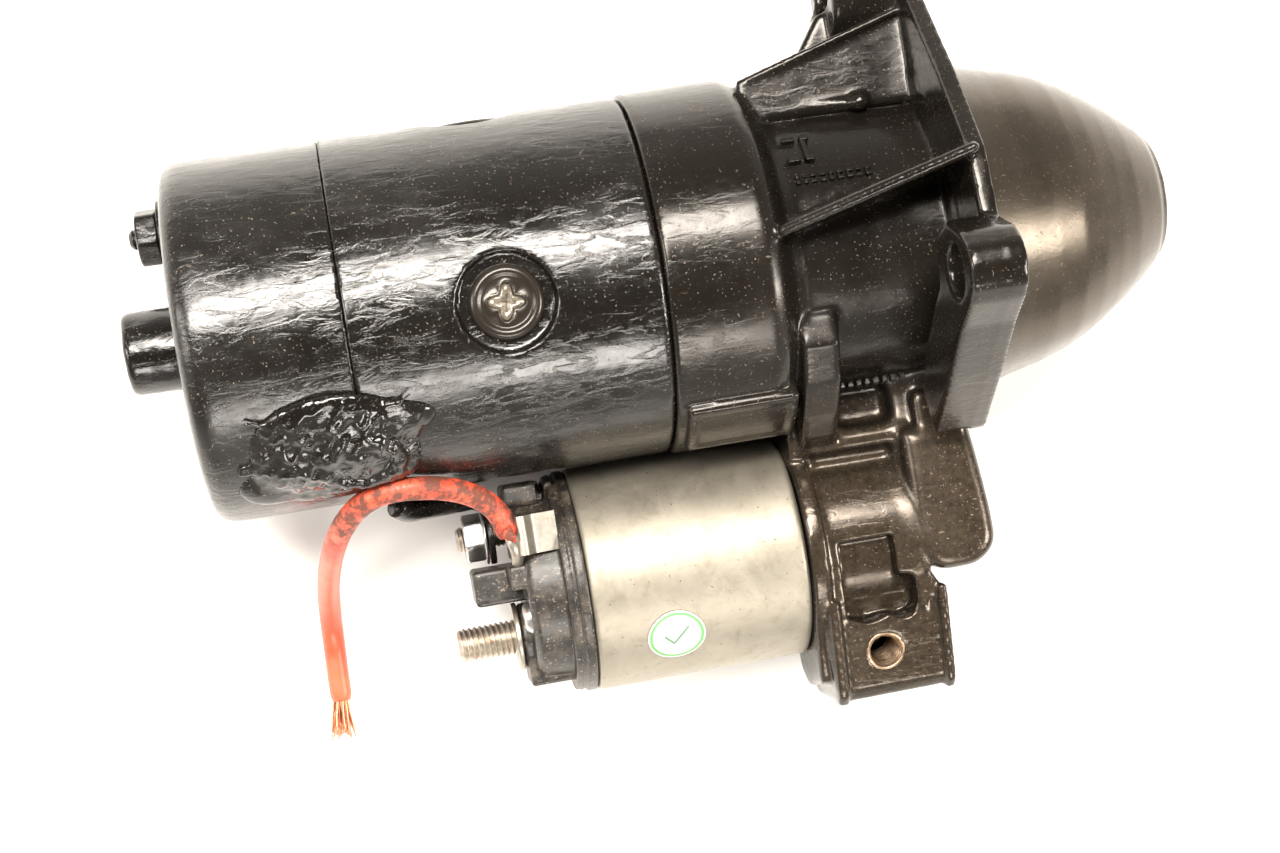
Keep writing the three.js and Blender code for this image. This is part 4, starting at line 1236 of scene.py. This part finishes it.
def make_studs():
    """Both are painted over; one ends blind inside the cap, the other carries a washer and nut."""
    nutted, blind = STUD_PLACES
    washer = fillet([(-37.2, 2.8), (-37.2, 8.2), (-38.4, 8.2), (-38.4, 2.8)], 0.4, 2, True)
    piece("rear_washer", lathe(washer, nutted, 64, True), BLACK,
          replaces=["stud_washer"])
    piece("rear_nut", hex_nut(-43.6, -38.6, 11.8, 2.6, nutted, 12), BLACK,
          replaces=["stud_nut"])
    for number, centre, start in (("1", nutted, -37.5), ("2", blind, -33.9)):
        shape = lathe([(start, 0), (start, 2.4), (76, 2.4), (76, 0)], centre, 24)
        if centre is nutted:
            shape = several(shape, threaded(-45.5, start + 0.5, 2.45, 0.8, 0.24, centre))
        piece("through_stud_rod_" + number, shape, BLACK,
              replaces=["through_stud_" + number])


def threaded(x0, x1, r, pitch, depth, centre, n=40):
    """A rod with a thread along X; its end at x0 is chamfered."""
    angles = round_angles(n)
    rings = [[(x0, *centre)]]
    for x in np.arange(x0, x1 + 1e-6, 0.11):
        phase = (x / pitch - angles / (2 * math.pi)) % 1
        radii = r - depth * (1 - np.abs(2 * phase - 1)) ** 1.2
        if x - x0 < 0.9:
            radii = np.minimum(radii, r - 0.9 + (x - x0) * 1.1)
        rings.append(ring_x(x, radii, angles, centre))
    return stitch(rings + [[(x1, *centre)]])


def hex_nut(x0, x1, flats, bore, centre, turn):
    """A hexagon nut with both its corners chamfered, and a plain bore."""
    near, far = flats / 2, flats / math.sqrt(3)
    angles = round_angles(72)
    sides = near / np.cos((angles + math.radians(turn)) % (math.pi / 3) - math.pi / 6)
    drop = (far - near) * 0.62
    half = near + (far - near) * 0.55
    rings = []
    for x, r in ((x0, near * 0.96), (x0 + drop * 0.5, half), (x0 + drop, far), (x1 - drop, far),
                 (x1 - drop * 0.5, half), (x1, near * 0.96)):
        rings.append(ring_x(x, np.minimum(sides, r), angles, centre))
    for x, r in ((x1, bore + 0.4), (x1 - 0.4, bore), (x0 + 0.4, bore), (x0, bore + 0.4)):
        rings.append(ring_x(x, r, angles, centre))
    return stitch(rings, closed_tube=True)


def make_seal_lump():
    """Sealant smeared over the grommet and painted: folds and drips over the cap's edge."""
    clay = Clay((-34, -44, 2), (26, -10, 44), 0.42)
    turn = math.radians(43)
    for y, z, x, size in ((0, 39.4, -6, (19, 13, 3.0)), (-1, 40.2, -2, (8, 6, 3.9)),
                          (-4, 40.0, -14, (9, 6, 3.0)), (4.5, 39.8, 7, (9, 4.5, 2.2)),
                          (-8.4, 39.0, 3.5, (8, 5.0, 3.2)), (7, 39.6, -11, (9, 4, 2.0)),
                          (-12, 37.5, -8, (14, 5, 2.6)), (-9, 38.6, -21, (7, 6, 2.2))):
        clay.add(tilted(form_ball((x, y, z), size), turn), 1.6)
    around = [(-1 + 8.2 * math.cos(k * 0.5236), -5 + 6 * math.sin(k * 0.5236)) for k in range(13)]
    for (x0, y0), (x1, y1) in zip(around, around[1:]):
        ends = [(x, y, math.sqrt(42.2 ** 2 - y * y)) for x, y in ((x0, y0), (x1, y1))]
        clay.add(tilted(form_bar(*ends, 1.5), turn), 0.7)
    clay.add(tilted(form_ball((-1, -5, 40.6), (5.6, 3.8, 2.6)), turn), 0.7)
    dice = np.random.RandomState(8)
    for _ in range(26):
        x, y = dice.uniform(-22, 12), dice.uniform(-10, 9)
        lean, reach = dice.uniform(-0.5, 0.9), dice.uniform(2.5, 6)
        level = 40.75 + 1.7 * math.exp(-((x + 4) / 10) ** 2 - ((y + 1) / 7) ** 2)
        a = (x - reach * math.cos(lean), y - reach * math.sin(lean), level - 0.5)
        b = (x + reach * math.cos(lean), y + reach * math.sin(lean), level - 0.2)
        r = dice.uniform(0.45, 0.95)
        clay.add(tilted(form_bar(a, b, r, r * 0.5), turn), 0.9)

    def distance(x, y, z):
        return np.hypot(y, z) - 40.0 + 0 * x

    clay.cut(Form((-40, -60, 0), (40, 0, 60), distance))

    def wrinkles(p):
        far = ((p[:, 0] + 5) / 20) ** 2 + (np.hypot(p[:, 1] + 28, p[:, 2] - 29) / 15) ** 2
        strength = np.clip(1.25 - far, 0.1, 1)
        slant = np.stack([0.5 * p[:, 0] + 0.4 * p[:, 1], p[:, 0] * 1.5 - p[:, 1], p[:, 2]], 1)
        ridged = 1 - np.abs(value_noise(slant, 3.0, 31))
        folds = 0.6 * (ridged ** 4 - 0.3) + 0.10 * value_noise(p, 1.2, 32)
        return np.where(np.hypot(p[:, 1], p[:, 2]) > 40.2, folds * strength, 0)

    piece("painted_sealant", clay.skin(2), LUMP, replaces=["lead_grommet"],
          relief=wrinkles)


make_housing()
make_tap()
make_cast_marks()
make_yoke()
make_pole_screws()
make_rear_cap()
make_studs()
make_seal_lump()


# ---- solenoid ----

BATTERY = on_solenoid(-10.3, 3.5)
MOTOR_POST = on_solenoid(13.5, -3.0)
SHEET = 0.8


def make_can():
    profile = fillet([(43.5, 23.5), (43.5, 26), (93, 26), (93, 9.8), (90.5, 9.8), (90.5, 23.5)],
                     [0.3, 1.9, 1.6, 0.3, 0.3, 1.0], 5, closed=True)

    def dents(p):
        outside = np.hypot(p[:, 1] - SOLENOID_Y, p[:, 2] - SOLENOID_Z) > 25.5
        low = p[:, 2] < REST_LEVEL + 1.5
        return np.where(outside & ~low, 0.05 * value_noise(p, 9, 41) - 0.03, 0)

    piece("solenoid_can", lathe(finer(profile, 0.9, True), SOLENOID, 180, True), ZINC,
          replaces=["solenoid_case"], relief=dents)


def make_solenoid_cap():
    """Black moulding: a rim that the can is rolled over, a terminal tower, ribs and barriers."""
    clay = Clay((17.8, -94.0, -41.6), (44.4, -40.0, 13.0), 0.36)
    clay.add(form_turned([
        (30.2, 0), (30.2, 20.6), (31.4, 21.9), (38.6, 22.3), (39.4, 25.0), (40.2, 25.7),
        (43.3, 25.7), (43.3, 0),
    ], SOLENOID), 0.5)
    clay.cut(form_rod(39.8, 40.9, 30, SOLENOID))
    clay.add(form_rod(38.4, 43.3, 25.05, SOLENOID, 0.3), 0.3)

    def box(x0, x1, y0, y1, z0, z1, edge=0.6, blend=0.5, sign=1):
        low, high = (x0, *on_solenoid(y0, z0)), (x1, *on_solenoid(y1, z1))
        clay.add(form_box(low, high, edge), blend, sign)

    box(28.4, 40.5, -21.8, -4.0, -8, 9.5)             # block that carries the battery stud
    clay.add(form_rod(27.9, 31, 7.4, BATTERY, 0.5), 0.4)
    box(18.8, 31, -2.0, 6.2, -8, 9.6, 0.9)             # barrier between the two studs
    box(26.8, 38.5, 1.2, 6.6, 4, 20.2, 0.5)           # T-shaped rib in front of the spade
    box(34.8, 39.6, -3.0, 7.6, 3, 19.0, 0.5)
    box(28.0, 37.4, 7.4, 17.6, 2, 17.6, 0.5)          # seat of the spade terminal
    box(28.2, 37.2, 19.4, 24.6, -8, 13.0, 1.2)        # upper block, beside the yoke
    box(37.8, 40.0, 18.8, 23.8, -4, 10.8, 0.3)
    box(36.0, 37.9, 19.8, 24.0, 6.0, 14.0, 0.2, 0.3, sign=-1)
    for y in (-16.5, -10.0):                           # ribs that stiffen the lower block
        box(31.5, 39.8, y - 0.7, y + 0.7, 8.0, 15.2 if y > -12 else 12.0, 0.3)
    clay.cut(form_rod(17, 36, 4.3, BATTERY))
    clay.cut(form_rod(17, 36, 3.3, MOTOR_POST))
    clay.cut(form_turned([(32.6, 0), (32.6, 18.2), (42, 18.2), (43.3, 21.6), (45, 21.6), (45, 0)],
                         SOLENOID), 0.3)

    def marks(p):
        return 0.035 * value_noise(p, 1.8, 51)

    piece("solenoid_moulding", clay.skin(1), PLASTIC,
          replaces=["solenoid_cap"], relief=marks)


def bent_sheet(name, line, low, high, replaces=()):
    """A strip of tinned sheet bent along a line of (x, z) points, from low to high across it."""
    p = np.array(line, float)
    t = np.gradient(p, axis=0)
    t /= np.linalg.norm(t, axis=1)[:, None]
    normal = np.stack([-t[:, 1], t[:, 0]], 1) * SHEET / 2
    shape = prism(np.vstack([p + normal, (p - normal)[::-1]]), low, high, axis=1)
    piece(name, shape, TIN, replaces=replaces, bevel=0.12)


def make_terminals():
    shank = threaded(13.3, 31.5, 4.0, 1.25, 0.62, BATTERY, 48)
    piece("battery_stud_m8", shank, THREAD, replaces=["battery_stud"])
    washer = fillet([(26.55, 4.2), (26.55, 7.8), (27.75, 7.8), (27.75, 4.2)], 0.3, 2, True)
    piece("battery_washer", lathe(washer, BATTERY, 72, True), TIN,
          replaces=["battery_stud_washer"])
    piece("motor_post_m6", threaded(16.9, 31.5, 3.0, 1.0, 0.42, MOTOR_POST), THREAD,
          replaces=["motor_stud"])
    flange = fillet([(23.1, 3.1), (23.1, 6.5), (23.8, 6.7), (23.8, 3.1)], 0.3, 2, True)
    nut = several(hex_nut(18.6, 23.3, 10, 3.1, MOTOR_POST, 8),
                  lathe(flange, MOTOR_POST, 64, True))
    piece("motor_post_nut", nut, BRIGHT, replaces=["motor_stud_nut"])
    # spade terminal: a flat tongue whose left end is folded up into a lip
    y, z = on_solenoid(8.9, 22.6)
    fold = fillet([(38.6, z - 1.3), (33.0, z - 0.2), (31.3, z + 2.8), (30.0, z + 2.9),
                   (29.6, z - 3.5), (30.4, z - 8)], [0, 1.0, 1.2, 1.0, 0.8, 0], 4)
    bent_sheet("spade_tongue", fold, y, y + 8.7, replaces=["spade_terminal"])
    # rivet and its bracket
    y, z = on_solenoid(-5.8, 12.4)
    head = fillet([(28.6, 0), (28.6, 2.9), (30.0, 3.9), (32.6, 3.9), (33.4, 2.6), (38, 2.6),
                   (38, 0)], [0, 0.9, 1.2, 0.9, 0.3, 0.3, 0], 4)
    piece("terminal_rivet", lathe(head, (y, z), 56), BRIGHT)
    foot = fillet([(33.4, z - 6.6), (33.4, z + 4.0), (38.6, z + 4.6), (39.9, z + 4.0)],
                  [0, 1.2, 0.8, 0], 4)
    bent_sheet("rivet_bracket", foot, y - 4.4, y + 4.2)
    # the lead's crimp: bare strands run into a tongue that is soldered behind the spade
    path = catmull([(28.6, -52.6, 7.6), (28.8, -54.6, 8.8), (29.2, -57.0, 8.0), (29.0, -59.2, 5.6),
                    (29.2, -60.2, 2.8)], 6)
    radii = np.linspace(1.9, 1.25, len(path))
    radii[0], radii[-1] = 1.4, 0.8
    piece("lead_crimp", tube_along(path, radii, 18, np.linspace(0.95, 0.6, len(path))), TIN,
          replaces=["lead_ferrule"])
    # torn end of the lead's sleeve, a short pointed flap over the crimp
    flap = []
    for t in np.linspace(0, 1, 8):
        half = 1.9 * (1 - t) ** 0.8 + 0.12
        at = np.array((26.9 + 2.2 * t, -51.6 - 3.0 * t, 11.2 + 0.5 * math.sin(3 * t)))
        flap.append([at + (side * half * 0.8, side * half * 0.5, up)
                     for side, up in ((-1, -0.35), (-1, 0.35), (1, 0.35), (1, -0.35))])
    piece("torn_sleeve", stitch(flap), RED)


def make_field_lead():
    route = [(4.5, -42.6, -0.5), (6.6, -44.0, -3), (10, -44.2, -6), (14, -44.2, -9.5),
             (18.5, -44.1, -13), (22.4, -44.2, -16), (24.8, -45.3, -17.5)]
    path = catmull(route, 6)
    lug = lathe(fillet([(24.1, 3.2), (24.1, 6.8), (25.5, 6.8), (25.5, 3.2)], 0.3, 2, True),
                MOTOR_POST, 56, True)
    tail = block((24.1, -51.0, -20), (25.5, -45.0, -15))
    piece("field_cable", several(tube_along(path, 2.6, 24), lug, tail), BLACK,
          replaces=["field_lead"])


def make_sticker():
    """A round sticker wrapped on the can, modelled flat about its own origin, then placed."""
    steps, r, lift, under = 12, 6.55, 0.34, -0.22
    rings = [[(0, 0, 0)]]
    for z, order in ((0, range(1, steps + 1)), (under, range(steps, 0, -1))):
        rings += [ring_z(z, r * k / steps, round_angles(96)) for k in order]
    v, f = stitch(rings + [[(0, 0, under)]])
    wrap = SOLENOID_R + lift
    v[:, 2] += np.sqrt(wrap ** 2 - v[:, 1] ** 2) - wrap
    mesh = bpy.data.meshes.new("inspection_sticker")
    mesh.from_pydata(v * MM, [], f)
    mesh.update()
    mesh.shade_smooth()
    mesh.materials.append(STICKER)
    obj = bpy.data.objects.new("inspection_sticker", mesh)
    bpy.context.scene.collection.objects.link(obj)
    turn = math.radians(34.4)
    at = (61.4, SOLENOID_Y - wrap * math.sin(turn), SOLENOID_Z + wrap * math.cos(turn))
    obj.matrix_world = Matrix.Translation(place(at)) @ Matrix.Rotation(turn, 4, "X")
    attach(obj, "motor_body")
    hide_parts("sticker")


# ---- the parts that move, seen through the nose's window ----

def make_pinion():
    teeth, tip, root, x0, x1 = 10, 14.0, 9.7, 146.6, 160.0
    loop = []
    for i in range(teeth):
        base = 2 * math.pi * i / teeth
        for share, r in ((-0.36, root + 0.2), (-0.27, root + 0.9), (-0.215, 11.6), (-0.155, 13.2),
                         (-0.11, tip), (0.0, tip + 0.05), (0.11, tip), (0.155, 13.2),
                         (0.215, 11.6), (0.27, root + 0.9), (0.36, root + 0.2), (0.5, root)):
            loop.append((base + share * 2 * math.pi / teeth, r))
    angles, radii = np.array(loop).T
    rings = [ring_x(x, radii * scale, angles) for x, scale in
             ((x0, 0.95), (x0 + 0.6, 1.0), (x1 - 2.4, 1.0), (x1 - 0.5, 0.9), (x1, 0.86))]
    rings += [ring_x(x, r, angles) for x, r in
              ((x1, 6.9), (x1 - 0.6, 6.35), (x0 + 0.6, 6.35), (x0, 6.9))]
    piece("pinion_gear_teeth", stitch(rings, closed_tube=True), OILED,
          body="pinion_gear", replaces=["pinion"], smooth=False, bevel=0.12)


def make_clutch():
    # x, radius and corner of each point
    points = np.array([
        (107.7, 8.35, 0.4), (107.7, 17, 0.8), (109.7, 17, 0.6), (109.7, 12, 0.6),
        (117.7, 12, 0.6), (117.7, 17, 0.6), (119.7, 17, 0.8), (119.7, 12, 0.4), (124, 12, 0.4),
        (124, 22, 1.4), (131, 22, 0.3), (131.6, 21.3, 0.2), (132.2, 21.3, 0.2), (132.8, 22, 0.3),
        (146, 22, 1.6), (146, 15.5, 0.4), (145.2, 15.5, 0.3), (145.2, 8.35, 0.3),
    ])
    profile = fillet(points[:, :2], points[:, 2], 4, closed=True)
    piece("overrun_clutch", lathe(profile, n=144, closed=True), STEEL, body="drive",
          replaces=["clutch_drive"])


def make_shaft():
    profile = fillet([
        (-45.5, 0), (-45.5, 6), (-29, 6), (-29, 8), (128, 8), (128, 6), (180.2, 6), (180.2, 5.5),
        (185.5, 5.5), (185.5, 2.0), (184.6, 0),
    ], [0, 0.8, 0.4, 0.4, 0.6, 0.6, 0.3, 0.3, 0.7, 0.3, 0], 4)
    piece("armature_shaft_turned", lathe(profile, n=80), STEEL, body="armature",
          replaces=["armature_shaft"])


make_can()
make_solenoid_cap()
make_terminals()
make_field_lead()
make_sticker()
make_pinion()
make_clutch()
make_shaft()


# ---- floor and light ----

def make_stage():
    bpy.ops.mesh.primitive_plane_add(size=6, location=(0, 0, -0.0001))
    floor = bpy.context.object
    floor.name = "floor"
    paper = Look("pale_floor", {"Roughness": 0.75})
    paper.colour(paper.mix(paper.noise(3, 2), (0.86, 0.85, 0.83), (0.90, 0.89, 0.87)))
    floor.data.materials.append(paper.material)
    floor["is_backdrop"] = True
    world = bpy.data.worlds.new("room")
    bpy.context.scene.world = world
    world.use_nodes = True
    tree = world.node_tree
    background = tree.nodes["Background"]
    background.inputs["Color"].default_value = (1.0, 0.96, 0.91, 1)
    # pale walls under a dim ceiling
    direction = tree.nodes.new("ShaderNodeTexCoord").outputs["Generated"]
    parts = tree.nodes.new("ShaderNodeSeparateXYZ")
    tree.links.new(direction, parts.inputs[0])
    fade = tree.nodes.new("ShaderNodeMapRange")
    for key, value in (("From Min", 0.10), ("From Max", 0.72), ("To Min", 0.9), ("To Max", 0.07)):
        fade.inputs[key].default_value = value
    tree.links.new(parts.outputs["Z"], fade.inputs["Value"])
    tree.links.new(fade.outputs[0], background.inputs["Strength"])


def add_light(name, at, aim, size, power, tone=(1.0, 0.95, 0.88)):
    data = bpy.data.lights.new(name, "AREA")
    data.shape = "RECTANGLE"
    data.size, data.size_y = size
    data.energy = power
    data.color = tone
    light = bpy.data.objects.new(name, data)
    bpy.context.scene.collection.objects.link(light)
    direction = Vector(aim) - Vector(at)
    light.matrix_world = (
        Matrix.Translation(at) @ direction.to_track_quat("-Z", "Y").to_matrix().to_4x4())


make_stage()
add_light("key", (-0.10, 0.34, 1.05), (0.0, 0.0, 0.03), (0.75, 0.28), 30)
add_light("side", (0.85, -0.30, 0.75), (0.02, 0.0, 0.03), (0.35, 0.25), 12)
add_light("left", (-0.95, 0.10, 0.65), (-0.02, 0.0, 0.03), (0.3, 0.5), 7)
add_light("front", (0.0, -0.95, 0.80), (0.0, 0.0, 0.03), (0.6, 0.25), 10)
bpy.context.scene.view_settings.view_transform = "Standard"


# ---- the sizes of the two models, and the end ----

def corners(box):
    return [list(map(float, corner)) for corner in box]


bpy.context.view_layer.update()
{"cad": corners(cad_box), "visual": corners(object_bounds())}
